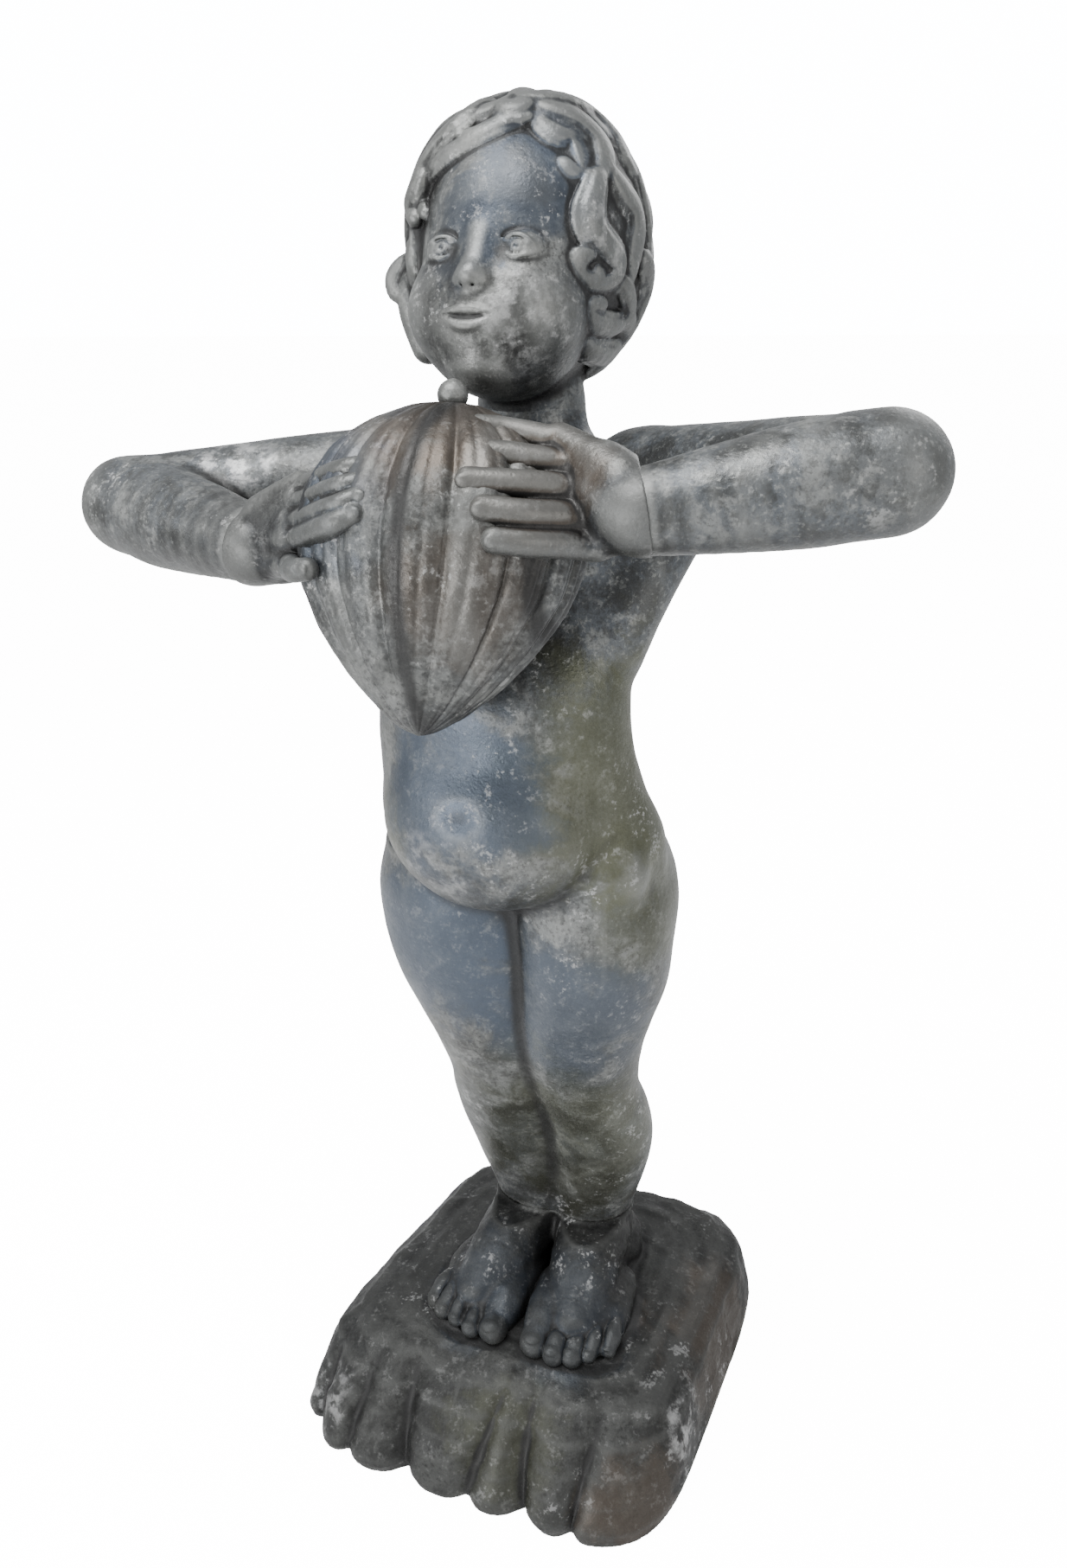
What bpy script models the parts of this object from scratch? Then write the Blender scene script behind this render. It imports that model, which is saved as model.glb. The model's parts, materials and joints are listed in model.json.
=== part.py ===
"""Lead garden fountain statue: a curly-haired child holds a ribbed gourd, on a rock base.

Metres, +Z up. The origin is on the underside of the rock, at the middle of its footprint.
The figure faces -Y and its left hand is towards +X. The statue is four castings: the figure,
cut at the wrists and ankles where the solder seams run, the hands with the gourd, the rock
with the feet, and the small water jet in the top of the gourd.
"""

import math

import bmesh
import bpy
from mathutils import Matrix, Vector

# Driving dimensions, metres
BASE_HEIGHT = 0.085
FIGURE_HEIGHT = 0.915
GOURD_LENGTH = 0.192
GOURD_WIDTH = 0.180
GOURD_DEPTH = 0.128
JET_BALL_DIAMETER = 0.018
JET_STEM_DIAMETER = 0.011
JET_STEM_LENGTH = 0.012
JET_BORE_DIAMETER = 0.003
JET_BORE_DEPTH = 0.010
JET_SINK = 0.004
JET_SEAT_CLEARANCE = 0.0008
SEAM_GAP = 0.0004

# The pose and carving are shares of the figure's height: 915 figure units from sole to hair.
UNIT = FIGURE_HEIGHT / 915

# Surface making: the size of the fusing grid and the share of faces that each casting keeps
FUSE_STEP = 3.6 * UNIT
HAND_FUSE_STEP = 2.4 * UNIT
FIGURE_KEEP = 0.030
HANDS_KEEP = 0.036
ROCK_KEEP = 0.048
GROUND_SINK = 0.012
CUT_ROOM = 0.6

# Pose, in figure units from the sole: x to the figure's left, y to its back, z up
ANKLE_SEAM_Z = 57.0
SHOULDER = (82.0, -2.0, 686.0)
LEFT_ELBOW = (247.0, -82.0, 714.0)
LEFT_WRIST = (124.0, -134.0, 697.0)
RIGHT_ELBOW = (-259.0, -84.0, 673.0)
RIGHT_WRIST = (-122.0, -132.0, 663.0)
HEAD_CENTRE = (0.0, 8.0, 812.0)
HEAD_TILT = math.radians(16)
GOURD_TOP = (0.0, -98.0, 746.0)
GOURD_LEAN = math.radians(21)
GOURD_LOBES = 16
GOURD_CLEARANCE = 2.0

# Torso rings: height, middle y, half width, half depth
TORSO_RINGS = (
    (348, -14, 98, 64),
    (385, -21, 110, 76),
    (415, -29, 112, 81),
    (450, -40, 107, 79),
    (490, -51, 95, 75),
    (530, -54, 89, 71),
    (570, -44, 87, 65),
    (610, -27, 92, 54),
    (645, -12, 94, 47),
    (675, 0, 86, 43),
    (698, 8, 62, 36),
    (716, 13, 40, 32),
    (745, 16, 34, 31),
    (785, 14, 34, 31),
)

# The legs stand this far to the figure's right of its middle
LEG_SHIFT = 3.0

# Left leg rings: height, middle x, middle y, half width, half depth
LEG_RINGS = (
    (38, 27, 44, 36, 36),
    (ANKLE_SEAM_Z, 27, 44, 35, 35),
    (76, 28, 43, 39, 37),
    (98, 30, 40, 44, 40),
    (122, 32, 36, 47, 42),
    (150, 34, 28, 49, 44),
    (182, 34, 17, 49, 43),
    (208, 33, 6, 47, 42),
    (228, 33, 0, 48, 43),
    (262, 36, -7, 52, 49),
    (292, 40, -11, 57, 55),
    (322, 45, -14, 62, 61),
    (358, 47, -18, 64, 65),
    (400, 47, -22, 62, 66),
)

# Middle of each hand, and its digits from the thumb: the knuckle, then x and z of the bend and
# of the tip on the gourd, then the radius
LEFT_PALM = (106, -128, 704)
LEFT_DIGITS = (
    ((92, -114, 724), (66, 736), (38, 741), 6.8),
    ((84, -128, 727), (54, 733), (27, 738), 7.0),
    ((90, -134, 712), (58, 718), (31, 724), 7.2),
    ((93, -140, 698), (62, 704), (35, 710), 7.0),
    ((93, -142, 684), (74, 687), (54, 687), 6.4),
)
RIGHT_PALM = (-104, -130, 672)
RIGHT_DIGITS = (
    ((-86, -112, 700), (-62, 722), (-40, 735), 6.8),
    ((-82, -126, 694), (-58, 712), (-34, 722), 7.0),
    ((-87, -136, 681), (-60, 699), (-34, 709), 7.2),
    ((-89, -144, 667), (-64, 685), (-39, 694), 7.0),
    ((-87, -148, 654), (-68, 669), (-49, 675), 6.4),
)

# Toes of the left foot: x and y of the tip, and radius, from the big toe outwards
LEFT_TOES = ((19, -86, 11.5), (37, -88, 9.0), (52, -84, 8.4), (65, -78, 8.0), (77, -69, 7.6))

# Rows of curls: height angle, how many, first and last turn from the face, radius of a curl
CURL_ROWS = (
    (80, 3, 60, 300, 19),
    (52, 9, 20, 340, 18),
    (26, 10, 52, 308, 18),
    (2, 9, 62, 298, 19),
    (-22, 8, 74, 286, 19),
    (-45, 6, 100, 260, 22),
)

# Corners of the rock's footprint, metres: front left of the picture, then round anticlockwise
ROCK_CORNERS = ((-0.184, -0.171), (0.151, -0.175), (0.158, 0.164), (-0.144, 0.164))

# Folds across the front of the rock: place along the width and depth of the groove
ROCK_FOLDS = ((-0.80, 9), (-0.58, 7), (-0.26, 10), (0.07, 9), (0.38, 11), (0.60, 7))


def clear_scene():
    """Removes what the scene holds before the statue is built."""
    for thing in list(bpy.data.objects):
        bpy.data.objects.remove(thing)


def make_collection(name):
    """A new collection in the scene."""
    group = bpy.data.collections.new(name)
    bpy.context.scene.collection.children.link(group)
    return group


def make_material(name, colour, roughness, metallic):
    """A plain Principled material."""
    made = bpy.data.materials.new(name)
    made.use_nodes = True
    shader = made.node_tree.nodes["Principled BSDF"]
    shader.inputs["Base Color"].default_value = (*colour, 1)
    shader.inputs["Roughness"].default_value = roughness
    shader.inputs["Metallic"].default_value = metallic
    return made


def at_figure(x, y, z):
    """A point given in figure units from the sole, in metres."""
    return Vector((x * UNIT, y * UNIT, BASE_HEIGHT + z * UNIT))


def add_ball(shape, centre, radii, turn=None, segments=24):
    """A stretched ball, in figure units."""
    place = Matrix.Translation(at_figure(*centre)) @ (turn or Matrix()).to_4x4()
    place = place @ Matrix.Diagonal((*(r * UNIT for r in radii), 1))
    bmesh.ops.create_uvsphere(shape, u_segments=segments, v_segments=segments // 2, radius=1, matrix=place)


def add_loft(shape, rings, segments=32):
    """A closed skin through level ellipses of (z, x, y, half width, half depth), figure units."""
    loops = []
    for z, x, y, half_width, half_depth in rings:
        place = Matrix.Translation(at_figure(x, y, z))
        place = place @ Matrix.Diagonal((half_width * UNIT, half_depth * UNIT, 1, 1))
        loops.append(bmesh.ops.create_circle(shape, segments=segments, radius=1, matrix=place)["verts"])
    skin_loops(shape, loops)


def skin_loops(shape, loops):
    """Joins matching loops of vertices, from the lowest up, and closes both ends."""
    count = len(loops[0])
    for lower, upper in zip(loops, loops[1:]):
        for i in range(count):
            j = (i + 1) % count
            shape.faces.new((lower[i], lower[j], upper[j], upper[i]))
    shape.faces.new(reversed(loops[0]))
    shape.faces.new(loops[-1])


def add_limb(shape, points, radii, sides=8):
    """A tapered limb along a smooth curve through the points, with round ends, figure units."""
    curve = bpy.data.curves.new("limb", "CURVE")
    curve.dimensions = "3D"
    curve.bevel_depth = UNIT
    curve.bevel_resolution = sides - 2
    curve.use_fill_caps = True
    curve.resolution_u = 6
    line = curve.splines.new("BEZIER")
    line.bezier_points.add(len(points) - 1)
    for knot, point, radius in zip(line.bezier_points, points, radii):
        knot.co = at_figure(*point)
        knot.handle_left_type = knot.handle_right_type = "AUTO"
        knot.radius = radius
    holder = bpy.data.objects.new("limb", curve)
    bpy.context.scene.collection.objects.link(holder)
    seen = holder.evaluated_get(bpy.context.evaluated_depsgraph_get())
    tube = bpy.data.meshes.new_from_object(seen)
    shape.from_mesh(tube)
    bpy.data.objects.remove(holder)
    bpy.data.meshes.remove(tube)
    bpy.data.curves.remove(curve)
    for end in (0, -1):
        add_ball(shape, points[end], (radii[end],) * 3, segments=2 * sides)


def make_object(name, shape, group, finish):
    """Turns loose shapes into one object that a fusing modifier can read."""
    bmesh.ops.remove_doubles(shape, verts=shape.verts, dist=1e-6)
    mesh = bpy.data.meshes.new(name)
    shape.to_mesh(mesh)
    shape.free()
    thing = bpy.data.objects.new(name, mesh)
    group.objects.link(thing)
    mesh.materials.append(finish)
    return thing


def fuse(thing, step, smoothing, keep):
    """Grows one skin round overlapping shapes, fills the creases and thins the faces."""
    skin = thing.modifiers.new("one_skin", "REMESH")
    skin.mode = "VOXEL"
    skin.voxel_size = step
    skin.use_smooth_shade = True
    soften = thing.modifiers.new("soft_creases", "SMOOTH")
    soften.factor = 0.5
    soften.iterations = smoothing
    thin = thing.modifiers.new("fewer_faces", "DECIMATE")
    thin.ratio = keep


def cut(thing, cutter):
    """Takes the cutter's shape away."""
    trim = thing.modifiers.new("trim_" + cutter.name, "BOOLEAN")
    trim.operation = "DIFFERENCE"
    trim.object = cutter


def make_cutter(name, group, shape):
    """A hidden wire-frame shape for cutting."""
    bmesh.ops.recalc_face_normals(shape, faces=shape.faces)
    mesh = bpy.data.meshes.new(name)
    shape.to_mesh(mesh)
    shape.free()
    thing = bpy.data.objects.new(name, mesh)
    group.objects.link(thing)
    thing.hide_render = True
    thing.display_type = "WIRE"
    return thing


def box_cutter(name, group, place, size):
    """A box of the given size, placed by a matrix."""
    shape = bmesh.new()
    bmesh.ops.create_cube(shape, size=1, matrix=place @ Matrix.Diagonal((*size, 1)))
    return make_cutter(name, group, shape)


def head_turn():
    """The head's backward tilt."""
    return Matrix.Rotation(-HEAD_TILT, 3, "X")


def at_head(x, y, z):
    """A point on the head, given about its own centre before the tilt, in figure units."""
    return tuple(Vector(HEAD_CENTRE) + head_turn() @ Vector((x, y, z)))


def arm_points(side):
    """Shoulder, elbow and wrist of one arm: side is 1 for the left and -1 for the right."""
    shoulder = Vector((side * SHOULDER[0], SHOULDER[1], SHOULDER[2]))
    if side > 0:
        return shoulder, Vector(LEFT_ELBOW), Vector(LEFT_WRIST)
    return shoulder, Vector(RIGHT_ELBOW), Vector(RIGHT_WRIST)


def add_arm(shape, side):
    """Upper arm, elbow and forearm, run a little past the wrist seam."""
    shoulder, elbow, wrist = arm_points(side)
    past = wrist + (wrist - elbow).normalized() * 14
    middle = (shoulder + elbow) / 2
    swell = elbow + (wrist - elbow) * 0.35
    add_limb(shape, [shoulder, middle, elbow], [35, 33, 32], sides=12)
    add_limb(shape, [elbow, swell, wrist, past], [32, 33, 23, 21], sides=12)
    armpit = [shoulder + Vector((side * 22, -6, -24)), Vector((side * 88, -20, 632)), Vector((side * 74, -38, 590))]
    add_limb(shape, armpit, [22, 24, 22])


def add_head(shape):
    """Skull, plump cheeks, chin, brow, nose and lips of a calm child's face."""
    turn = head_turn()
    add_ball(shape, at_head(0, 10, 16), (65, 75, 71), turn, 32)
    add_ball(shape, at_head(0, -24, -26), (55, 50, 56), turn)
    add_ball(shape, at_head(0, -50, -64), (20, 18, 17), turn)
    add_ball(shape, at_head(0, -77, -16), (8, 10, 8), turn)
    add_ball(shape, at_head(0, -70, -2), (6, 8, 17), turn)
    add_ball(shape, at_head(0, -69, -42), (15, 8, 6), turn)
    for side in (-1, 1):
        add_ball(shape, at_head(side * 28, -44, -34), (27, 26, 27), turn)
        add_ball(shape, at_head(side * 24, -62, 16), (20, 10, 8), turn)


def add_curl(shape, spot, outward, radius, spin):
    """One lock that hooks round into a curl, lying on the scalp."""
    across = outward.cross(Vector((0, 0, 1))).normalized() * spin
    down = outward.cross(across) * spin
    points = []
    radii = []
    for step in range(6):
        angle = math.radians(-100 + step * 62)
        reach = radius * (0.95 - 0.10 * step)
        lift = outward * radius * (0.05 * step)
        points.append(spot + across * math.cos(angle) * reach + down * math.sin(angle) * reach + lift)
        radii.append(radius * (0.50 - 0.035 * step))
    add_limb(shape, points, radii)
    add_ball(shape, spot - outward * radius * 0.8, (radius,) * 3, segments=12)


def add_curls(shape):
    """Rows of large curls over the crown, the sides and the nape."""
    for row, (height, count, first, last, radius) in enumerate(CURL_ROWS):
        rise = math.radians(height)
        for i in range(count):
            heading = math.radians(first + (last - first) * i / (count - 1))
            outward = Vector((math.sin(heading) * math.cos(rise), -math.cos(heading) * math.cos(rise), math.sin(rise)))
            local = Vector((outward.x * 71, outward.y * 80 + 8, outward.z * 80 + 17))
            spin = 1 if (i + row) % 2 else -1
            add_curl(shape, Vector(at_head(*local)), head_turn() @ outward, radius, spin)


def add_hairline(shape):
    """The two rolls of hair that part above the brow and run down past the temples."""
    for side in (-1, 1):
        run = ((2, -56, 62), (32, -56, 54), (55, -38, 36), (66, -22, 6), (75, -16, -22), (66, 0, -50))
        points = [at_head(side * x, y, z) for x, y, z in run]
        add_limb(shape, points, [10, 12, 12, 13, 15, 15])


def build_figure(group, cutters, finish):
    """Head, trunk, arms to the wrists and legs to the ankles: one casting."""
    shape = bmesh.new()
    add_loft(shape, [(z, 0, y, a, b) for z, y, a, b in TORSO_RINGS])
    add_ball(shape, (-6, -79, 474), (72, 56, 63))
    for side in (-1, 1):
        add_loft(shape, [(z, side * x - LEG_SHIFT, y, a, b) for z, x, y, a, b in LEG_RINGS])
        add_ball(shape, (side * 48, 8, 390), (56, 50, 68))
        add_arm(shape, side)
    add_head(shape)
    add_curls(shape)
    add_hairline(shape)
    figure = make_object("child_figure", shape, group, finish)
    fuse(figure, FUSE_STEP, 5, FIGURE_KEEP)
    seam = BASE_HEIGHT + ANKLE_SEAM_Z * UNIT + SEAM_GAP / 2
    drop = Matrix.Translation((0, 0, seam / 2))
    cut(figure, box_cutter("below_ankles", cutters, drop, (CUT_ROOM, CUT_ROOM, seam)))
    for side, name in ((-1, "right_hand_space"), (1, "left_hand_space")):
        cut(figure, wrist_cutter(name, cutters, side, 1))
    gourd_space = bmesh.new()
    add_gourd(gourd_space, room=GOURD_CLEARANCE * UNIT)
    cut(figure, make_cutter("gourd_space", cutters, gourd_space))
    return figure


def wrist_cutter(name, group, side, towards_hand):
    """A box that ends at the wrist seam, on the hand's side of it or on the arm's."""
    shoulder, elbow, wrist = arm_points(side)
    along = (wrist - elbow).normalized()
    length = 52 * UNIT
    middle = at_figure(*wrist) + along * towards_hand * (length / 2 - SEAM_GAP / 2)
    place = Matrix.Translation(middle) @ along.to_track_quat("Z", "Y").to_matrix().to_4x4()
    return box_cutter(name, group, place, (70 * UNIT, 70 * UNIT, length))


def gourd_frame():
    """The gourd's own place: its stem at the top, its long axis down and forwards."""
    return Matrix.Translation(at_figure(*GOURD_TOP)) @ Matrix.Rotation(-GOURD_LEAN, 4, "X")


def gourd_radius(share):
    """Radius at a share of the length below the stem, as a share of the widest."""
    return max(math.sin(math.pi * share ** 0.76) ** 0.68, 0.02)


def gourd_front(x, z):
    """How far forward the gourd's skin lies at a place across and up, in figure units."""
    below = GOURD_TOP[2] - z
    share = min(max(below * UNIT / (GOURD_LENGTH * math.cos(GOURD_LEAN)), 0.02), 0.98)
    half_width = GOURD_WIDTH / 2 / UNIT * gourd_radius(share)
    half_depth = GOURD_DEPTH / 2 / UNIT * gourd_radius(share)
    round_share = math.sqrt(max(1 - (x / half_width) ** 2, 0.0))
    return GOURD_TOP[1] - below * math.tan(GOURD_LEAN) - half_depth * round_share


def add_gourd(shape, rings=26, segments=96, room=0.0):
    """A fat gourd with rounded lobes from the stem to the blossom end, room larger all round."""
    loops = []
    for i in range(rings + 1):
        share = 0.996 - 0.992 * i / rings
        reach = gourd_radius(share)
        loop = []
        for k in range(segments):
            angle = 2 * math.pi * k / segments
            lobe = 1 - 0.055 * (1 - abs(math.sin(GOURD_LOBES * angle / 2)) ** 0.6)
            x = math.cos(angle) * (GOURD_WIDTH / 2 * reach * lobe + room)
            y = math.sin(angle) * (GOURD_DEPTH / 2 * reach * lobe + room)
            loop.append(shape.verts.new(gourd_frame() @ Vector((x, y, -share * GOURD_LENGTH))))
        loops.append(loop)
    skin_loops(shape, loops)


def add_hand(shape, side):
    """Wrist stub, back of the hand and five digits laid on the gourd."""
    shoulder, elbow, wrist = arm_points(side)
    before = wrist + (elbow - wrist).normalized() * 14
    palm, digits = (LEFT_PALM, LEFT_DIGITS) if side > 0 else (RIGHT_PALM, RIGHT_DIGITS)
    add_limb(shape, [before, wrist, palm], [22, 21, 18], sides=10)
    add_ball(shape, (palm[0] - side * 4, palm[1], palm[2]), (19, 14, 27))
    for knuckle, bend, tip, radius in digits:
        points = [Vector(palm) + Vector((side * 8, 4, 0)), Vector(knuckle)]
        for (x, z), lift in ((bend, 0.8), (tip, 0.3)):
            points.append(Vector((x, gourd_front(x, z) - lift * radius, z)))
        add_limb(shape, points, [12, radius + 1.6, radius, radius * 0.9])


def build_hands_and_gourd(group, cutters, finish):
    """Both hands and the gourd that they hold: one casting, bored for the jet."""
    shape = bmesh.new()
    add_gourd(shape)
    for side in (-1, 1):
        add_hand(shape, side)
    held = make_object("hands_with_gourd", shape, group, finish)
    fuse(held, HAND_FUSE_STEP, 3, HANDS_KEEP)
    for side, name in ((-1, "right_arm_space"), (1, "left_arm_space")):
        cut(held, wrist_cutter(name, cutters, side, -1))
    socket = bmesh.new()
    depth = JET_STEM_LENGTH + SEAM_GAP
    place = jet_frame() @ Matrix.Translation((0, 0, (0.03 - depth) / 2))
    radius = JET_STEM_DIAMETER / 2 + SEAM_GAP
    bmesh.ops.create_cone(socket, cap_ends=True, segments=24, radius1=radius, radius2=radius, depth=0.03 + depth, matrix=place)
    cut(held, make_cutter("jet_socket", cutters, socket))
    seat = bmesh.new()
    ball = JET_BALL_DIAMETER / 2
    place = jet_frame() @ Matrix.Translation((0, 0, ball))
    bmesh.ops.create_uvsphere(seat, u_segments=24, v_segments=12, radius=ball + JET_SEAT_CLEARANCE, matrix=place)
    cut(held, make_cutter("jet_ball_seat", cutters, seat))
    return held


def jet_frame():
    """The jet's seat on top of the gourd, pointing up."""
    return Matrix.Translation(at_figure(*GOURD_TOP) - Vector((0, 0, JET_SINK)))


def build_jet(group, cutters, finish):
    """The water jet: a round ball on a short stem, with a hole up through its top."""
    ball = JET_BALL_DIAMETER / 2
    stem = JET_STEM_DIAMETER / 2
    seat = math.sqrt(ball ** 2 - stem ** 2)
    profile = [(0, ball * 2)]
    for step in range(1, 6):
        angle = math.radians(90 - step * 24)
        profile.append((ball * math.cos(angle), ball + ball * math.sin(angle)))
    profile += [(stem, ball - seat), (stem, -JET_STEM_LENGTH), (0, -JET_STEM_LENGTH)]
    mesh = bpy.data.meshes.new("water_jet")
    mesh.from_pydata([(x, 0, z) for x, z in profile], [(i, i + 1) for i in range(len(profile) - 1)], [])
    jet = bpy.data.objects.new("water_jet", mesh)
    group.objects.link(jet)
    mesh.materials.append(finish)
    jet.matrix_world = jet_frame()
    turned = jet.modifiers.new("turned", "SCREW")
    turned.axis = "Z"
    turned.steps = turned.render_steps = 16
    turned.use_merge_vertices = True
    turned.merge_threshold = 0.0001
    turned.use_smooth_shade = True
    bore = bmesh.new()
    place = jet_frame() @ Matrix.Translation((0, 0, 2 * ball))
    radius = JET_BORE_DIAMETER / 2
    bmesh.ops.create_cone(bore, cap_ends=True, segments=16, radius1=radius, radius2=radius, depth=2 * JET_BORE_DEPTH, matrix=place)
    cut(jet, make_cutter("jet_bore", cutters, bore))
    return jet


def rock_fold(share, front):
    """How far the folds cut into the front of the rock at a share of its half width."""
    groove = sum(depth * math.exp(-(((share - place) / 0.055) ** 2)) for place, depth in ROCK_FOLDS)
    return -groove * UNIT * front


def rock_outline(angle, inset, slope, folded):
    """A point of the rock's edge: a rounded square, set back by the slope and folded in front."""
    x, y = math.cos(angle), math.sin(angle)
    corner = (abs(x) ** 5 + abs(y) ** 5) ** (-1 / 5)
    x, y = x * corner, y * corner
    shares = ((1 - x) * (1 - y) / 4, (1 + x) * (1 - y) / 4, (1 + x) * (1 + y) / 4, (1 - x) * (1 + y) / 4)
    edge_x = sum(share * spot[0] for share, spot in zip(shares, ROCK_CORNERS))
    edge_y = sum(share * spot[1] for share, spot in zip(shares, ROCK_CORNERS))
    front = max(-y, 0) ** 6
    return edge_x - x * inset, edge_y - y * (inset - rock_fold(x, front) * folded) + front * slope


def add_rock(shape, segments=240):
    """A low rock: steep sides, a front that slopes down in folds, and a gently domed top."""
    # height, inset all round, further slope in front and share of the folds, from the ground up
    levels = (
        (-GROUND_SINK, 0, 0, 1),
        (0.012, -0.001, 0.001, 1),
        (0.030, 0.001, 0.006, 1),
        (0.045, 0.004, 0.013, 0.9),
        (0.060, 0.009, 0.023, 0.7),
        (0.074, 0.024, 0.030, 0.35),
        (0.081, 0.050, 0.024, 0.1),
        (BASE_HEIGHT, 0.090, 0.010, 0),
    )
    loops = []
    for height, inset, slope, folded in levels:
        spots = [rock_outline(2 * math.pi * k / segments, inset, slope, folded) for k in range(segments)]
        loops.append([shape.verts.new((x, y, height)) for x, y in spots])
    skin_loops(shape, loops)


def add_foot(shape, side):
    """Ankle stub, heel, instep and five toes."""
    add_loft(shape, [(z, side * 32, 44, 31, 35) for z in (-6, 30, 80)])
    add_ball(shape, (side * 34, 48, 10), (32, 32, 28))
    add_limb(shape, [(side * 33, 22, 38), (side * 38, -18, 25), (side * 43, -54, 11)], [32, 28, 21], sides=10)
    add_ball(shape, (side * 22, -30, 10), (21, 54, 24))
    add_ball(shape, (side * 61, -24, 6), (22, 48, 18))
    for x, y, radius in LEFT_TOES:
        root = (side * (x * 0.9 + 4), y + 34, 8)
        add_limb(shape, [root, (side * x, y + 12, 7.5), (side * x, y, 5)], [radius, radius * 0.9, radius])


def build_rock_and_feet(group, cutters, finish):
    """The rock with both feet on it: one casting with a flat underside."""
    shape = bmesh.new()
    add_rock(shape)
    for side in (-1, 1):
        add_foot(shape, side)
    rock = make_object("rock_with_feet", shape, group, finish)
    fuse(rock, FUSE_STEP, 3, ROCK_KEEP)
    room = 0.1
    seam = BASE_HEIGHT + ANKLE_SEAM_Z * UNIT - SEAM_GAP / 2
    above = Matrix.Translation((0, 0, seam + room / 2))
    cut(rock, box_cutter("above_ankles", cutters, above, (CUT_ROOM, CUT_ROOM, room)))
    below = Matrix.Translation((0, 0, -room / 2))
    cut(rock, box_cutter("ground", cutters, below, (CUT_ROOM, CUT_ROOM, room)))
    return rock


def build_statue():
    """Builds the four castings in their places."""
    clear_scene()
    statue = make_collection("child_fountain_statue")
    cutters = make_collection("cutters")
    lead = make_material("weathered_lead", (0.19, 0.20, 0.20), 0.55, 0.65)
    dark_lead = make_material("dark_lead", (0.12, 0.12, 0.11), 0.65, 0.5)
    brass = make_material("dull_brass", (0.42, 0.40, 0.35), 0.45, 0.8)
    build_figure(statue, cutters, lead)
    build_hands_and_gourd(statue, cutters, lead)
    build_jet(statue, cutters, brass)
    build_rock_and_feet(statue, cutters, dark_lead)


build_statue()
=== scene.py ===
"""Looks of the child fountain statue: weathered lead castings, a small water jet and a pale stage.

Each casting is modelled like clay: round forms are pressed together in a block of signed
distances, creases are cut in, and the skin of the block becomes the mesh. The gourd and the
jet follow a rule, so Geometry Nodes make them.
"""
import json
import math

import bmesh
import bpy
import numpy as np
from bpy.props import FloatProperty, FloatVectorProperty, IntProperty, PointerProperty
from mathutils import Matrix, Vector

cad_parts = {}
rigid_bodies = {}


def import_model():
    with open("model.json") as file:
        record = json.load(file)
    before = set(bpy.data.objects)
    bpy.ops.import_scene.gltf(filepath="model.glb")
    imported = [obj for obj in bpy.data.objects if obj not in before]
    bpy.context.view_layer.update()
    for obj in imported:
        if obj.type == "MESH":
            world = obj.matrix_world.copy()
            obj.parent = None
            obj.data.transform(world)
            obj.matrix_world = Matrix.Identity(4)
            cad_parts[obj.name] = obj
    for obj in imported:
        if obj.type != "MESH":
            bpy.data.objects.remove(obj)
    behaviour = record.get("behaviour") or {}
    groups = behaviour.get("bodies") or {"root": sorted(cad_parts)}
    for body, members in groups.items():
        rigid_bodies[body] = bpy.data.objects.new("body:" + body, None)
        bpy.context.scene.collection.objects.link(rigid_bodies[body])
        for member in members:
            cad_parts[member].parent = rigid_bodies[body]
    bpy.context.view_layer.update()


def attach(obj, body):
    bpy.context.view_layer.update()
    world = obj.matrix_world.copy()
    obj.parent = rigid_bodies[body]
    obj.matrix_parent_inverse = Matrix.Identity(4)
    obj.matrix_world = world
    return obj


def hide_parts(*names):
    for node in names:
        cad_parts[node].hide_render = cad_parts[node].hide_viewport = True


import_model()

bl_info = {
    "name": "Child fountain statue",
    "version": (1, 0, 0),
    "blender": (4, 5, 0),
    "location": "3D View > Sidebar > Statue",
    "description": "Builds a weathered lead fountain figure around its packed solids",
    "category": "Object",
}

MM = 0.001

# Distances, in millimetres, of empty clay and of clay that is cut off at the edge of its block
FAR_OUTSIDE = 40.0
JUST_OUTSIDE = 0.02

# Cells on each side of the table of random values, and how far over a flat base it fades in
LATTICE_CELLS = 32
FLAT_FADE = 6.0

# How hollow or proud the skin is, at three scales, which the finish turns into painted shade in hollows and a painted
# highlight on ridges: attribute, reach and the depth that counts as full
RELIEF_LAYERS = (("fine_relief", 2.2, 0.5), ("relief", 5.0, 1.1), ("broad_relief", 13.0, 3.6))

# Heights are in millimetres above the sole, which stands this far above the ground
SOLE = 85.0
ANKLE_SEAM = 57.0
SEAM_GAP = 0.4

# Pose, in millimetres: x to the figure's left, y to its back, z up from the sole
SHOULDER = (82.0, -2.0, 686.0)
ELBOWS = {1: (247.0, -82.0, 714.0), -1: (-259.0, -84.0, 673.0)}
WRISTS = {1: (124.0, -134.0, 697.0), -1: (-122.0, -132.0, 663.0)}
HEAD_CENTRE = (0.0, 8.0, 812.0)
HEAD_TILT = math.radians(16)
EYE_ASIDE = 24.0
EYE_DEPTH = -53.5
GOURD_TOP = (0.0, -98.0, 746.0)
GOURD_LEAN = math.radians(21)
JET_SINK = 4.0

# Trunk: height, middle y, half width, half depth
TORSO_ROWS = (
    (392, -14, 70, 44),
    (412, -15, 100, 59),
    (450, -26, 106, 64),
    (490, -40, 95, 64),
    (530, -48, 89, 65),
    (570, -44, 88, 64),
    (610, -27, 91, 54),
    (645, -12, 92, 47),
    (675, 0, 86, 42),
    (698, 8, 62, 36),
    (716, 13, 41, 32),
    (745, 16, 34, 31),
    (785, 14, 34, 31),
)

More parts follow.
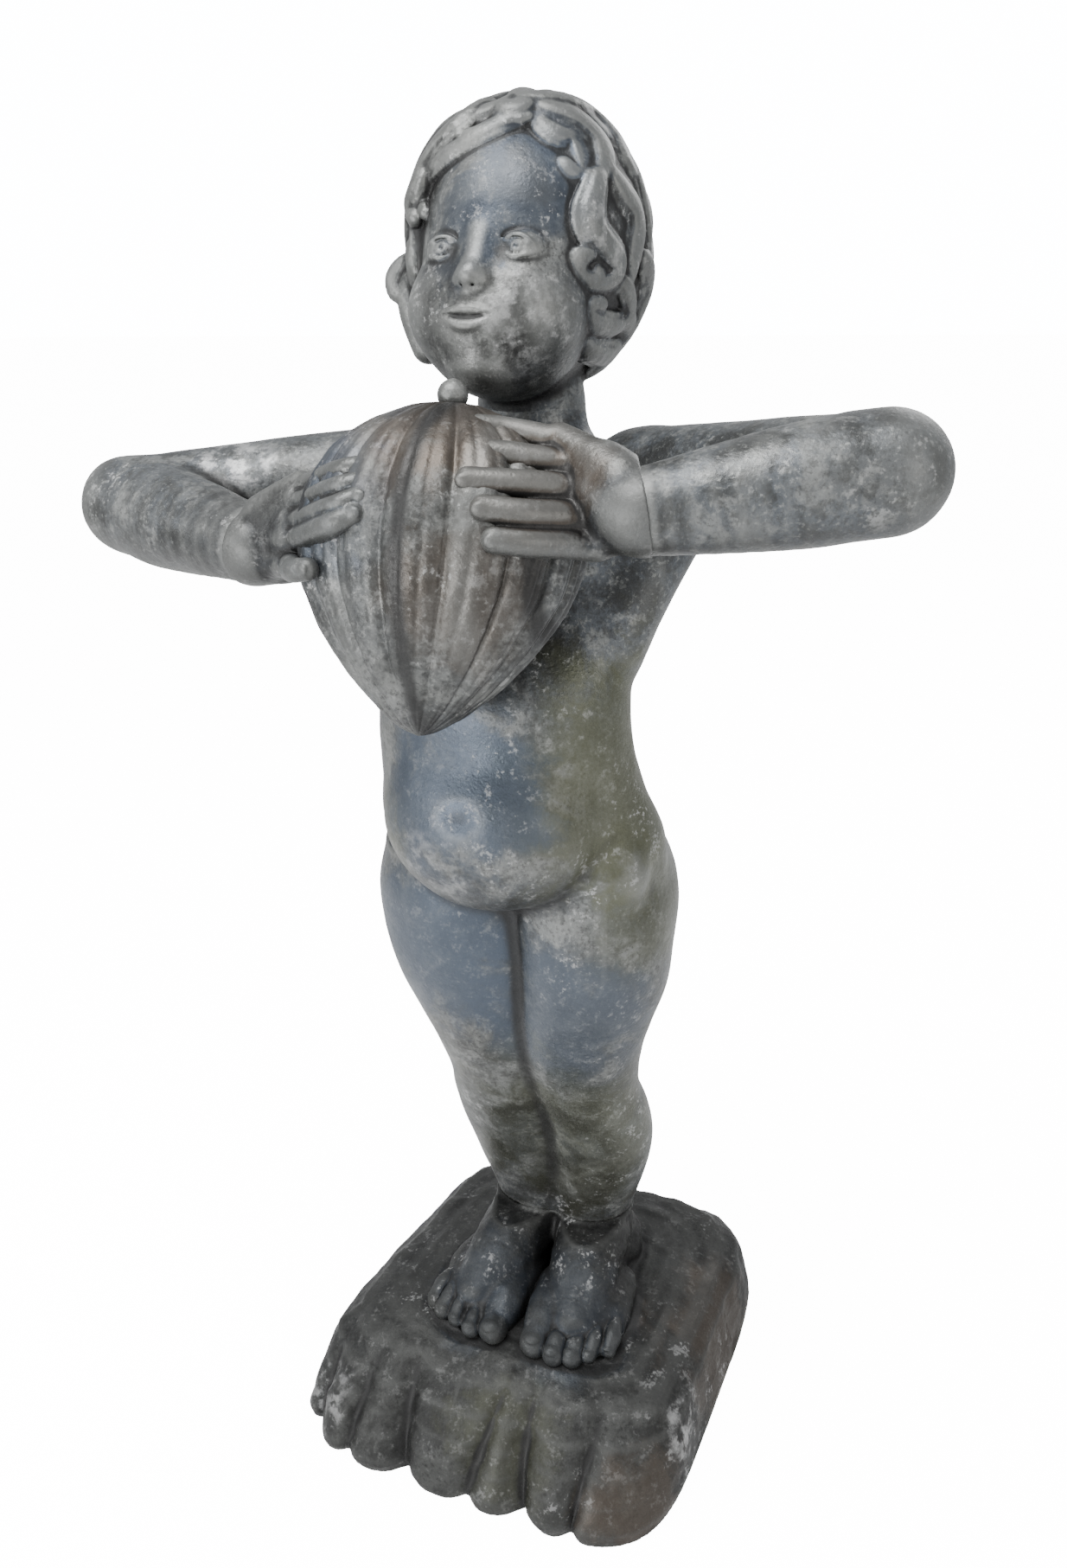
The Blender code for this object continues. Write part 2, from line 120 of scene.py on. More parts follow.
# The neck passes from the trunk's skin to the head's: the end of each hides in the other
NECK_STUB = ((736, 15.4, 35.6, 31.2), (748, 15.6, 32.4, 29.4), (770, 14, 31, 28))
NECK_ROOT = (
    (704, 12, 33, 27),
    (724, 14.4, 36.6, 29.6),
    (735, 15.4, 36.1, 31.7),
    (750, 15.8, 34.3, 31.3),
    (785, 14, 34.3, 31.3),
)

# Soft forms of the trunk: centre, radii and fillet. The chest and the seat are made on both sides
BELLY = ((1, -80, 475), (75, 54, 63), 16)
CHEST = ((44, -34, 650), (36, 22, 32), 14)
SEAT = ((48, 10, 392), (56, 50, 66), 14)
HIP_FILL = ((72, -56, 436), (32, 21, 28), 14)
PLAIN_BACK = ((0, 6, 432), (62, 44, 66), 16)
NAVEL = ((3, -137, 500), (8, 6, 6), 12)
BELLY_DENT = ((47, -125, 466), (4, 2.6, 3), 2)

# Legs press this far into each other
LEG_OVERLAP = 19.0

# Legs: height, line where they meet, outer edge of the left, of the right, middle y, half depth
LEG_ROWS = (
    (30, 0, 60, -66, 44, 36),
    (57, 0, 59, -65, 44, 35),
    (76, 1, 64, -70, 43, 37),
    (98, 4, 71, -77, 40, 40),
    (122, 8, 77, -83, 36, 42),
    (150, 11, 81, -87, 28, 44),
    (182, 12, 81, -87, 17, 43),
    (208, 10, 77, -83, 6, 42),
    (228, 8, 78, -84, 0, 43),
    (262, 7, 85, -91, -7, 49),
    (292, 8, 94, -100, -11, 55),
    (322, 11, 104, -110, -14, 61),
    (358, 14, 109, -115, -18, 65),
    (395, 13, 109, -115, -21, 64),
    (430, 12, 100, -106, -24, 56),
)

# The fold under the belly, from the right hip round to the left
BELLY_FOLD = ((-74, -74, 447), (-58, -88, 430), (-28, -100, 414), (10, -106, 409), (34, -104, 412), (48, -104, 418))

# Palms, and the digits of each hand: knuckle, then x and z of the bend and of the tip on the gourd,
# and radius. Side 1 is the figure's left hand and -1 its right
PALMS = {1: (106, -128, 704), -1: (-112, -126, 668)}
DIGITS = {
    1: (
        ((66, -116, 730), (44, 735), (29, 738), 7.2),
        ((80, -124, 718), (56, 724), (33, 728), 7.8),
        ((86, -131, 706), (62, 712), (38, 715), 8.2),
        ((92, -136, 693), (70, 698), (50, 702), 8.6),
        ((95, -138, 680), (77, 684), (58, 687), 8.0),
    ),
    -1: (
        ((-84, -128, 701), (-44, 716), (-28, 720), 6.4),
        ((-84, -136, 692), (-41, 708), (-24, 713), 6.8),
        ((-84, -142, 682), (-39, 699), (-22, 706), 7),
        ((-82, -148, 673), (-40, 690), (-22, 698), 7),
        ((-88, -146, 658), (-66, 664), (-52, 667), 7.2),
    ),
}

# Toes of the left foot: x and y of the tip and radius, from the big toe outwards
LEFT_TOES = ((19, -86, 11.5), (37, -88, 9.0), (52, -84, 8.4), (65, -78, 8.0), (77, -69, 7.6))

# Corners of the rock's footprint: front left of the picture, then round anticlockwise
ROCK_CORNERS = ((-184.0, -171.0), (151.0, -175.0), (158.0, 164.0), (-144.0, 164.0))

# Folds across the front of the rock: place along its half width, depth, width
ROCK_FOLDS = (
    (-0.82, 11, 0.05),
    (-0.60, 8, 0.045),
    (-0.28, 15, 0.07),
    (0.05, 10, 0.05),
    (0.34, 16, 0.07),
    (0.58, 8, 0.04),
)
FOLD_LEAN = 0.0011

# The footprint's roundness: the power of its outline and half its width
ROCK_SQUARENESS = 5
ROCK_HALF_WIDTH = 162

# Height above the ground, inset of the rock's sides, further slope and depth of folds in front
ROCK_SIDES = (
    (-12, 0, 0, 1),
    (12, -1, 1, 1),
    (30, 1, 6, 1),
    (45, 4, 13, 0.9),
    (60, 9, 23, 0.7),
    (74, 24, 30, 0.35),
    (81, 50, 24, 0.1),
    (85, 90, 10, 0),
)

# Rows of locks round the head: height angle of the roots and tips, number, first and last heading,
# half width
LOCK_ROWS = (
    (86, 52, 11, 10, 337, 12),
    (56, 16, 10, 112, 302, 12),
    (26, -14, 10, 116, 300, 12),
    (-4, -40, 10, 118, 292, 11),
    (-30, -58, 7, 130, 245, 9),
)

# How far such a lock sways, and the hook at its tip: steps aside and up from the last bend
LOCK_SWAY = 8
LOCK_HOOK = ((9, -5), (17, 0), (16, 8))

# Strands of a lock: place across it, sink and thickness as shares of its half width
LOCK_STRANDS = ((-0.80, 0.34, 0.30), (0.80, 0.34, 0.30), (-0.30, 0.06, 0.36), (0.30, 0.06, 0.36))

# Locks round the face: half width, height over the scalp, then heading and height angle of each bend
FRONT_LOCKS = (
    (13, 1.5, ((18, 55), (42, 56), (78, 60), (89, 51), (94, 44), (89, 33), (102, 28))),
    (12, 1.5, ((95, 43), (101, 31), (104, 21), (108, 11), (110, 3), (111, -5))),
    (13, 6, ((100, -6), (113, -12), (114, -19), (116, -28), (118, -34), (112, -41))),
    (11, 6, ((109, -40), (121, -44), (123, -51), (127, -58))),
    (12, 5.5, ((101, -28), (117, -31), (119, -38), (121, -43), (86, -48), (71, -45))),
    (12, 1.5, ((69, 21), (76, 16), (85, 11), (88, 4), (87, -3), (87, -9), (88, -15), (80, -21))),
    (12, 0.5, ((30, 50), (43, 48), (56, 44), (65, 37), (66, 28), (63, 21), (58, 13))),
    (11, 0.5, ((-27, 59), (-27, 43), (-42, 35), (-51, 25), (-53, 17), (-55, 10), (-56, 6), (-49, 2))),
    (10, -2.5, ((25, 53), (9, 53), (-7, 51), (-23, 48), (-39, 48), (-42, 43), (-39, 39))),
    (8.5, -4.5, ((26, 49), (17, 46), (9, 44), (1, 40), (-7, 36), (-15, 34), (-30, 38), (-42, 44), (-39, 48))),
    (8, -4, ((-13, 31), (-29, 28), (-42, 24), (-53, 19), (-53, 12), (-42, 3))),
    (9, -3, ((27, 50), (33, 40), (40, 36), (50, 37), (59, 36), (63, 30), (61, 23), (53, 18), (46, 19), (43, 22))),
    (11, 2.5, ((59, 17), (56, 8), (55, 2), (56, -2), (61, -6), (68, -9), (74, -12), (75, -17), (69, -21), (59, -24))),
    (9, 3.5, ((83, -18), (95, -22), (103, -28), (92, -35), (74, -37), (64, -34), (65, -30), (74, -29))),
    (6.5, 2, ((57, -12), (52, -16), (53, -21), (60, -22), (65, -19), (62, -17))),
)

# The lock that stands out over the right ear, and the mass under it: places on the head and radii
SIDE_LOCK = (
    (-56, -8, 6),
    (-68, -12, 7),
    (-80, -13, 4),
    (-86, -13, -3),
    (-84, -12, -11),
    (-76, -12, -14),
    (-70, -13, -9),
)
SIDE_MASS = ((-58, -2, 4, 14), (-72, -6, -6, 11), (-72, -3, -22, 11), (-64, 2, -44, 11))

# The hair's mass, about the head's centre
HAIR_CENTRE = np.array((-3.0, 10.0, 20.0))
HAIR_RADII = np.array((72.0, 80.0, 84.0))
HAIR_REACH = 92

# How far forward the hair reaches at each height of the head
HAIRLINE = (
    (-70, 14),
    (-50, 6),
    (-36, -4),
    (-22, -18),
    (-6, -30),
    (7, -33),
    (25, -34),
    (46, -38),
    (67, -36),
    (82, -26),
    (100, -10),
)


def length_setting(name, description, value):
    """A length, given in millimetres."""
    return FloatProperty(name=name, description=description, default=value * MM, subtype="DISTANCE")


def angle_setting(name, description, value):
    """An angle, given in degrees."""
    return FloatProperty(name=name, description=description, default=math.radians(value), subtype="ANGLE")


def colour_setting(name, description, value):
    return FloatVectorProperty(name=name, description=description, default=value, subtype="COLOR", min=0, max=1)


class StatueSettings(bpy.types.PropertyGroup):
    body_step: length_setting("Body grain", "Grid that the trunk and limbs are modelled on", 2.1)
    head_step: length_setting("Head grain", "Grid that the head and hair are modelled on", 1.1)
    hand_step: length_setting("Hand grain", "Grid that the hands are modelled on", 0.9)
    rock_step: length_setting("Rock grain", "Grid that the rock and feet are modelled on", 1.5)


class GourdSettings(bpy.types.PropertyGroup):
    length: length_setting("Length", "Stem to blossom end", 192)
    width: length_setting("Width", "Across the picture", 180)
    depth: length_setting("Depth", "Front to back", 128)
    lobes: IntProperty(name="Lobes", description="Rounded ribs around the gourd", default=16, min=6, max=40)


class JetSettings(bpy.types.PropertyGroup):
    ball: length_setting("Ball", "Diameter of the jet's ball", 18)
    stem: length_setting("Stem", "Diameter of the stem", 11)
    stem_length: length_setting("Stem length", "Stem below the ball", 12)
    bore: length_setting("Bore", "Diameter of the water hole", 3)
    bore_depth: length_setting("Bore depth", "Depth of the water hole", 10)


class FinishSettings(bpy.types.PropertyGroup):
    lead: colour_setting("Lead", "Mid grey of the bare lead", (0.098, 0.100, 0.096))
    # The crease colour is painted shade: the finish lays it in hollows, broad dips and on faces that look down. The
    # dark stains use it too
    dark: colour_setting("Crease", "Colour of painted shade in creases and of dark stains", (0.018, 0.018, 0.018))
    chalk: colour_setting("Chalk", "Colour of chalky weathering", (0.52, 0.52, 0.52))
    blue: colour_setting("Blue", "Blue-grey tint of worn lead", (0.056, 0.072, 0.098))
    olive: colour_setting("Olive", "Tint of the algae film", (0.085, 0.088, 0.052))
    brown: colour_setting("Brown", "Colour of the water stains", (0.066, 0.052, 0.040))


class StageSettings(bpy.types.PropertyGroup):
    turn: angle_setting("Turn", "Camera's way round to the figure's left", 23.74)
    pitch: angle_setting("Pitch", "Camera's look down", 23.434)
    roll: angle_setting("Roll", "Camera's lean", 1.92)
    place: FloatVectorProperty(
        name="Place", description="Where the camera stands", default=(0.337, -0.768, 0.916), subtype="TRANSLATION"
    )
    focal_share: FloatProperty(
        name="Focal share", description="Focal length over picture height", default=1450 / 1813, min=0.1, max=5
    )


# Smooth curves and turns


def smooth_rows(rows, steps):
    """Rows of numbers, resampled along a smooth curve through them."""
    rows = np.array(rows, float)
    ends = np.vstack([2 * rows[0] - rows[1], rows, 2 * rows[-1] - rows[-2]])
    found = []
    for before, start, stop, after in zip(ends, ends[1:], ends[2:], ends[3:]):
        for share in np.arange(steps) / steps:
            curve = 2 * start + (stop - before) * share
            curve = curve + (2 * before - 5 * start + 4 * stop - after) * share**2
            curve = curve + (3 * start - before - 3 * stop + after) * share**3
            found.append(curve / 2)
    found.append(rows[-1])
    return np.array(found)


def head_turn():
    """The head's backward tilt, as a matrix whose columns are the head's own axes."""
    return np.array(Matrix.Rotation(-HEAD_TILT, 3, "X"))


def at_head(x, y, z):
    """A point on the head, given about its own centre before the tilt."""
    return tuple(np.array(HEAD_CENTRE) + head_turn() @ np.array((x, y, z), float))


def unit(vector):
    """The same direction with length one."""
    return vector / max(np.linalg.norm(vector), 1e-9)


def sided(side, place):
    """A place on the figure's left for side 1, and its mirror on the right for side -1."""
    return np.array((side * place[0], *place[1:]), float)


CORNERS = [(i, j, k) for i in (0, 1) for j in (0, 1) for k in (0, 1)]


def blended(table, cell, share):
    """Values of a grid between the corners of a cell, which wraps round at the grid's end."""
    total = 0
    for corner in CORNERS:
        weight = np.abs(1 - np.array(corner) - share)
        index = (cell + corner) % table.shape
        total = total + weight[:, 0] * weight[:, 1] * weight[:, 2] * table[tuple(index.T)]
    return total


# Clay: a block of signed distances


class Clay:
    """A block of signed distances in millimetres, negative inside, that forms are pressed into."""

    def __init__(self, low, high, step):
        self.step = step / MM
        self.low = np.array(low, np.float32)
        count = np.ceil((np.array(high) - np.array(low)) / self.step).astype(int) + 1
        self.values = np.full(count, FAR_OUTSIDE, np.float32)
        self.axes = [self.low[i] + self.step * np.arange(count[i], dtype=np.float32) for i in range(3)]

    def window(self, low, high, margin):
        """The cells around a box, and their x, y and z."""
        cells = []
        for i in range(3):
            first = max(math.floor((low[i] - margin - self.low[i]) / self.step), 0)
            last = min(math.ceil((high[i] + margin - self.low[i]) / self.step) + 1, self.values.shape[i])
            if last <= first:
                return None
            cells.append(slice(first, last))
        x, y, z = (self.axes[i][cells[i]] for i in range(3))
        return tuple(cells), x[:, None, None], y[None, :, None], z[None, None, :]

    def press(self, distance, low, high, soft, carve=False):
        """Joins a form to the clay, or carves it away, with a fillet of about the soft size."""
        found = self.window(low, high, soft + 2.5 * self.step)
        if found is None:
            return
        cells, x, y, z = found
        form = distance(x, y, z)
        clay = self.values[cells]
        if carve:
            share = np.clip(0.5 - 0.5 * (clay + form) / soft, 0, 1)
            self.values[cells] = clay * (1 - share) - form * share + soft * share * (1 - share)
        else:
            share = np.clip(0.5 + 0.5 * (clay - form) / soft, 0, 1)
            self.values[cells] = clay * (1 - share) + form * share - soft * share * (1 - share)

    def ball(self, centre, radii, soft=6.0, turn=None, carve=False):
        """A stretched ball."""
        turn = np.eye(3) if turn is None else turn
        reach = np.abs(turn) @ np.array(radii, float)
        centre = np.array(centre, float)

        def distance(x, y, z):
            away = [x - np.float32(centre[0]), y - np.float32(centre[1]), z - np.float32(centre[2])]
            inner = outer = 0
            for i in range(3):
                along = sum(away[j] * np.float32(turn[j, i]) for j in range(3)) / np.float32(radii[i])
                inner = inner + along**2
                outer = outer + (along / np.float32(radii[i])) ** 2
            inner = np.sqrt(inner)
            return inner * (inner - 1) / (np.sqrt(outer) + 1e-6)

        self.press(distance, centre - reach, centre + reach, soft, carve)

    def limb(self, points, radii, soft=6.0, steps=8, carve=False):
        """A tapered round limb along a smooth curve."""
        rows = smooth_rows([(*point, radius) for point, radius in zip(points, radii)], steps)

        def distance(x, y, z):
            nearest = None
            for start, stop in zip(rows, rows[1:]):
                reach = segment_distance(start, stop, x, y, z)
                nearest = reach if nearest is None else np.minimum(nearest, reach)
            return nearest

        low = (rows[:, :3] - rows[:, 3:]).min(0)
        high = (rows[:, :3] + rows[:, 3:]).max(0)
        self.press(distance, low, high, soft, carve)

    def strand(self, rows, soft=0.8):
        """A thin strand of hair, pressed in one short piece after another."""
        for start, stop in zip(rows, rows[1:]):
            reach = max(start[3], stop[3])
            low = np.minimum(start[:3], stop[:3]) - reach
            high = np.maximum(start[:3], stop[:3]) + reach
            self.press(lambda x, y, z: segment_distance(start, stop, x, y, z), low, high, soft)

    def loft(self, rows, soft=8.0):
        """A form through level ellipses: height, middle x, middle y, half width, half depth."""
        rows = smooth_rows(rows, 6)
        rows = rows[np.argsort(rows[:, 0])]
        low = (*(rows[:, 1:3] - rows[:, 3:5]).min(0), rows[0, 0])
        high = (*(rows[:, 1:3] + rows[:, 3:5]).max(0), rows[-1, 0])

        def distance(x, y, z):
            row = [np.interp(z, rows[:, 0], rows[:, i]).astype(np.float32) for i in range(1, 5)]
            mid_x, mid_y, wide, deep = row
            across = (x - mid_x) / wide
            along = (y - mid_y) / deep
            inner = np.sqrt(across**2 + along**2)
            outer = np.sqrt((across / wide) ** 2 + (along / deep) ** 2) + 1e-6
            side = inner * (inner - 1) / outer
            ends = np.abs(z - (low[2] + high[2]) / 2) - (high[2] - low[2]) / 2
            return np.maximum(side, ends)

        self.press(distance, low, high, soft)

    def slice(self, point, normal, reach):
        """Cuts off what lies beyond a plane, near a point."""
        cells, x, y, z = self.window(np.array(point) - reach, np.array(point) + reach, 0)
        beyond = (x - point[0]) * normal[0] + (y - point[1]) * normal[1] + (z - point[2]) * normal[2]
        self.values[cells] = np.maximum(self.values[cells], beyond.astype(np.float32))

    def mesh(self, name, keep):
        """The clay's skin as a mesh object in metres, with a share of its faces kept."""
        values = self.values
        for axis in range(3):
            for end in (0, -1):
                face = [slice(None)] * 3
                face[axis] = end
                values[tuple(face)] = np.maximum(values[tuple(face)], JUST_OUTSIDE)
        points, quads = surface_net(values)
        thing = thinned(mesh_object(name, (self.low + points * self.step) * MM, quads), keep)
        places = coordinates(thing.data)
        for layer, reach, scale in RELIEF_LAYERS:
            spread = blurred(values, max(round(reach / self.step), 1))
            hollow = -sampled(spread, (places / MM - self.low) / self.step)
            made = thing.data.attributes.new(layer, "FLOAT", "POINT")
            made.data.foreach_set("value", np.clip(hollow / scale, -1, 1).astype(np.float32))
        thing.data.transform(Matrix.Translation((0, 0, SOLE * MM)))
        return thing


def blurred(values, reach):
    """The clay averaged over a cube, twice, so that hollows read negative and ridges positive."""
    soft = np.clip(values, -4 * reach, 4 * reach)
    for _ in range(2):
        for axis in range(3):
            edge = [(0, 0)] * 3
            edge[axis] = (reach + 1, reach)
            total = np.cumsum(np.pad(soft, edge, mode="edge"), axis=axis, dtype=np.float32)
            count = soft.shape[axis]
            ahead = np.take(total, range(2 * reach + 1, 2 * reach + 1 + count), axis=axis)
            behind = np.take(total, range(count), axis=axis)
            soft = (ahead - behind) / (2 * reach + 1)
    return soft


def sampled(values, spots):
    """Values of a grid at places given in cells, blended between the cells' corners."""
    low = np.clip(np.floor(spots).astype(int), 0, np.array(values.shape) - 2)
    return blended(values, low, np.clip(spots - low, 0, 1))


def coordinates(mesh):
    """Places of a mesh's vertices."""
    places = np.empty(len(mesh.vertices) * 3, np.float32)
    mesh.vertices.foreach_get("co", places)
    return places.reshape(-1, 3).astype(float)


def segment_distance(start, stop, x, y, z):
    """Distance to the skin of a tapered segment, whose ends are (x, y, z, radius)."""
    start, stop = np.float32(start), np.float32(stop)
    run = stop - start
    length = max(float(run[:3] @ run[:3]), 1e-6)
    away = (x - start[0], y - start[1], z - start[2])
    share = np.clip((away[0] * run[0] + away[1] * run[1] + away[2] * run[2]) / length, 0, 1)
    apart = (away[0] - share * run[0]) ** 2 + (away[1] - share * run[1]) ** 2 + (away[2] - share * run[2]) ** 2
    return np.sqrt(apart) - (start[3] + share * run[3])


def surface_net(values):
    """Points and four-sided faces of the surface where the values pass zero."""
    inside = values < 0
    size = np.array(values.shape) - 1

    def shifted(grid, corner):
        return grid[tuple(slice(corner[i], corner[i] + size[i]) for i in range(3))]

    filled = sum(shifted(inside, corner).astype(np.int8) for corner in CORNERS)
    cells = np.argwhere((filled > 0) & (filled < 8))
    number = np.full(size, -1, np.int32)
    number[tuple(cells.T)] = np.arange(len(cells))
    total = np.zeros((len(cells), 3))
    crossings = np.zeros(len(cells))
    for first in CORNERS:
        for axis in range(3):
            if first[axis]:
                continue
            second = list(first)
            second[axis] = 1
            one = values[tuple((cells + first).T)]
            two = values[tuple((cells + second).T)]
            crossed = (one < 0) != (two < 0)
            share = one[crossed] / (one[crossed] - two[crossed])
            spot = np.repeat(np.array([first], float), crossed.sum(), 0)
            spot[:, axis] += share
            total[crossed] += spot
            crossings[crossed] += 1
    points = cells + total / crossings[:, None]
    quads = []
    for axis in range(3):
        one, two = [i for i in range(3) if i != axis]
        within = [slice(1, size[i]) for i in range(3)]
        within[axis] = slice(0, size[axis])
        starts = inside[tuple(within)]
        within[axis] = slice(1, size[axis] + 1)
        stops = inside[tuple(within)]
        for rising in (True, False):
            edges = np.argwhere((starts & ~stops) if rising else (~starts & stops))
            edges[:, one] += 1
            edges[:, two] += 1
            around = []
            for back_one, back_two in ((0, 0), (1, 0), (1, 1), (0, 1)):
                cell = edges.copy()
                cell[:, one] -= back_one
                cell[:, two] -= back_two
                around.append(number[tuple(cell.T)])
            flipped = rising == (axis == 1)
            quads.append(np.stack(around[::-1] if flipped else around, 1))
    return points, np.concatenate(quads)


def placed(name, data):
    """A new object in the scene."""
    thing = bpy.data.objects.new(name, data)
    bpy.context.scene.collection.objects.link(thing)
    return thing


def mesh_object(name, points, quads):
    """A mesh object from points in metres and four-sided faces."""
    mesh = bpy.data.meshes.new(name)
    mesh.vertices.add(len(points))
    mesh.vertices.foreach_set("co", points.astype(np.float32).ravel())
    mesh.loops.add(quads.size)
    mesh.loops.foreach_set("vertex_index", quads.astype(np.int32).ravel())
    mesh.polygons.add(len(quads))
    mesh.polygons.foreach_set("loop_start", np.arange(0, quads.size, 4, dtype=np.int32))
    mesh.update(calc_edges=True)
    mesh.validate()
    return placed(name, mesh)


def flat_mesh(thing):
    """Applies an object's modifiers: its mesh becomes the evaluated one."""
    seen = thing.evaluated_get(bpy.context.evaluated_depsgraph_get())
    mesh = bpy.data.meshes.new_from_object(seen)
    thing.modifiers.clear()
    old = thing.data
    thing.data = mesh
    bpy.data.meshes.remove(old)
    return thing


def thinned(thing, keep):
    """Keeps a share of the faces, most where the surface bends most."""
    soften = thing.modifiers.new("soften", "SMOOTH")
    soften.factor = 0.5
    soften.iterations = 2
    fewer = thing.modifiers.new("fewer faces", "DECIMATE")
    fewer.ratio = keep
    return flat_mesh(thing)


def joined(name, things):
    """One object from several, each still a closed skin."""
    whole = things[0]
    whole.name = whole.data.name = name
    with bpy.context.temp_override(active_object=whole, selected_editable_objects=things):
        bpy.ops.object.join()
    return whole


# Trunk, arms and legs


def arm_points(side):
    """Shoulder, elbow and wrist: side is 1 for the left arm and -1 for the right."""
    return sided(side, SHOULDER), np.array(ELBOWS[side]), np.array(WRISTS[side])


def model_trunk(clay):
    """Trunk with a round belly, soft chest and plain back."""
    clay.loft([(z, 0, y, wide, deep) for z, y, wide, deep in (*TORSO_ROWS[:-2], *NECK_STUB)])
    clay.ball(*BELLY)
    for side in (-1, 1):
        for centre, radii, soft in (CHEST, SEAT):
            clay.ball(sided(side, centre), radii, soft)
        collar = [sided(side, point) for point in ((16, -26, 700), (44, -26, 706), (76, -16, 708))]
        clay.limb(collar, [4, 5, 5], soft=9)
    clay.ball(*HIP_FILL)
    clay.ball(*PLAIN_BACK)
    clay.ball(*NAVEL, carve=True)
    clay.ball(*BELLY_DENT, carve=True)


def model_arm(clay, side):
    """Upper arm, elbow, plump forearm and wrist, cut flat at the wrist seam."""
    shoulder, elbow, wrist = arm_points(side)
    along = unit(wrist - elbow)
    past = wrist + along * 14
    middle = (shoulder + elbow) / 2
    elbow = elbow + unit(middle - elbow) * 3
    swell = elbow + (wrist - elbow) * 0.35
    clay.ball(shoulder + sided(side, (6, 0, -2)), (36, 37, 35), soft=14)
    clay.limb([shoulder, middle, elbow], [35, 33.5, 31.5], soft=12)
    clay.limb([elbow, swell, wrist, past], [31.5, 33, 23, 22], soft=8)
    armpit = [shoulder + sided(side, (22, -6, -24)), sided(side, (88, -20, 632)), sided(side, (74, -38, 590))]
    clay.limb(armpit, [22, 24, 22], soft=12)
    clay.slice(wrist, along, 48)


def leg_rings(side, rows):
    """Level ellipses of one leg, which press into the other's past the line where they meet."""
    rings = []
    for z, gap, left, right, y, deep in rows:
        outer = left if side > 0 else right
        inner = gap - side * LEG_OVERLAP
        rings.append((z, (outer + inner) / 2, y, abs(outer - inner) / 2, deep))
    return rings


def model_legs(clay):
    """Legs that press together along one wandering line, with soft knees."""
    for side in (1, -1):
        clay.loft(leg_rings(side, LEG_ROWS), soft=8)


def model_body(step):
    """Trunk, arms and legs from the ankle seam to the neck."""
    clay = Clay((-294, -190, ANKLE_SEAM + SEAM_GAP / 2), (284, 92, 772), step)
    model_legs(clay)
    model_trunk(clay)
    clay.limb(BELLY_FOLD, [0.8, 2.0, 2.8, 2.4, 1.4, 0.5], soft=7, carve=True)
    for side in (-1, 1):
        model_arm(clay, side)
    return clay.mesh("body_cast", 0.26)


# Head: a calm child's face on plain proportions

# Skull, jaw and chin, then the cheek of the left side: place on the head, radii and fillet
SKULL = (((0, 10, 18), (66, 76, 75), 8), ((0, -24, -26), (54, 50, 55), 12), ((0, -50, -64), (18, 17, 15), 14))
CHEEK = (27, -43, -33)

# Upper lid, lower lid and the fold over them: rise, radius, half width and slant of the arc,
# thickness along it, fillet, and whether it is carved
EYE_LINES = (
    ((6.4, 13.6, 13.4, -0.05), (0.7, 1.3, 1.7, 1.8, 1.7, 1.4, 0.9), 0.9, False),
    ((-5.2, 13.3, 12.6, -0.05), (0.6, 1.0, 1.3, 1.4, 1.3, 1.0, 0.6), 0.9, False),
    ((10.6, 15.2, 14.0, -0.06), (0.3, 0.7, 0.9, 0.9, 0.9, 0.8, 0.4), 1.6, True),
)
IRIS_RADIUS = 4.6

# Lips and the line between them, from the middle to one end: x, height, sink into the skin, thickness
UPPER_LIP = ((0, -38.8, 0.5, 2.3), (3, -38.0, 0.2, 2.5), (9, -39.2, 0.3, 1.9), (16, -40.6, 0.4, 0.8))
LOWER_LIP = ((0, -47.8, 0.3, 3.0), (7, -46.6, 0.4, 2.3), (13, -43.6, 0.6, 0.9))
LIP_LINE = ((0, -43.0, 0, 1.1), (10, -42.0, 0, 0.9), (17, -40.6, 0, 0.4))


def head_ball(clay, place, radii, soft, carve=False):
    """A stretched ball whose axes are the tilted head's."""
    clay.ball(at_head(*place), radii, soft, head_turn(), carve)


def model_skull(clay):
    """Neck, skull, jaw, chin and cheeks."""
    clay.loft([(z, 0, y, wide, deep) for z, y, wide, deep in NECK_ROOT])
    for place, radii, soft in SKULL:
        head_ball(clay, place, radii, soft)
    for side in (-1, 1):
        head_ball(clay, sided(side, CHEEK), (23, 22, 22), 16)


def face_point(clay, x, z, sink):
    """The point of the face's skin at a place seen from in front, sunk by a distance."""
    depths = np.arange(-100.0, -30.0, 0.25)
    spots = np.array([at_head(x, y, z) for y in depths])
    inside = sampled(clay.values, (spots - clay.low) / clay.step) < 0
    return at_head(x, depths[np.argmax(inside)] + sink, z)


def eye_arc(side, rise, reach, width, turned):
    """Points of a lid along the eyeball: its height in the middle, radius, half width and slant."""
    points = []
    for x in np.linspace(-width, width, 7):
        z = rise * (1 - (x / width) ** 2) + turned * x
        y = -math.sqrt(max(reach**2 - x**2 - z**2, 0))
        points.append(at_head(side * (EYE_ASIDE + x), EYE_DEPTH + y, z - 2))
    return points


def model_eye(clay, side):
    """One eye: shallow socket, ball with iris and pupil, two thin lids and the fold over them."""
    middle = side * EYE_ASIDE
    head_ball(clay, (middle - side * 3, -82, 1), (16, 13, 9), 14, carve=True)
    head_ball(clay, (middle, EYE_DEPTH, -2), (14, 12.8, 13), 1.5)
    for arc, radii, soft, carve in EYE_LINES:
        clay.limb(eye_arc(side, *arc), radii, soft, carve=carve)
    iris = []
    for angle in np.linspace(0, 2 * math.pi, 13):
        x, z = IRIS_RADIUS * math.cos(angle), IRIS_RADIUS * math.sin(angle)
        iris.append(at_head(middle + x, EYE_DEPTH - 12.2, -1.4 + z))
    clay.limb(iris, [0.7] * len(iris), 0.6, 2, carve=True)
    head_ball(clay, (middle, EYE_DEPTH - 12.9, -1.4), (1.7, 1.6, 1.7), 0.8, carve=True)


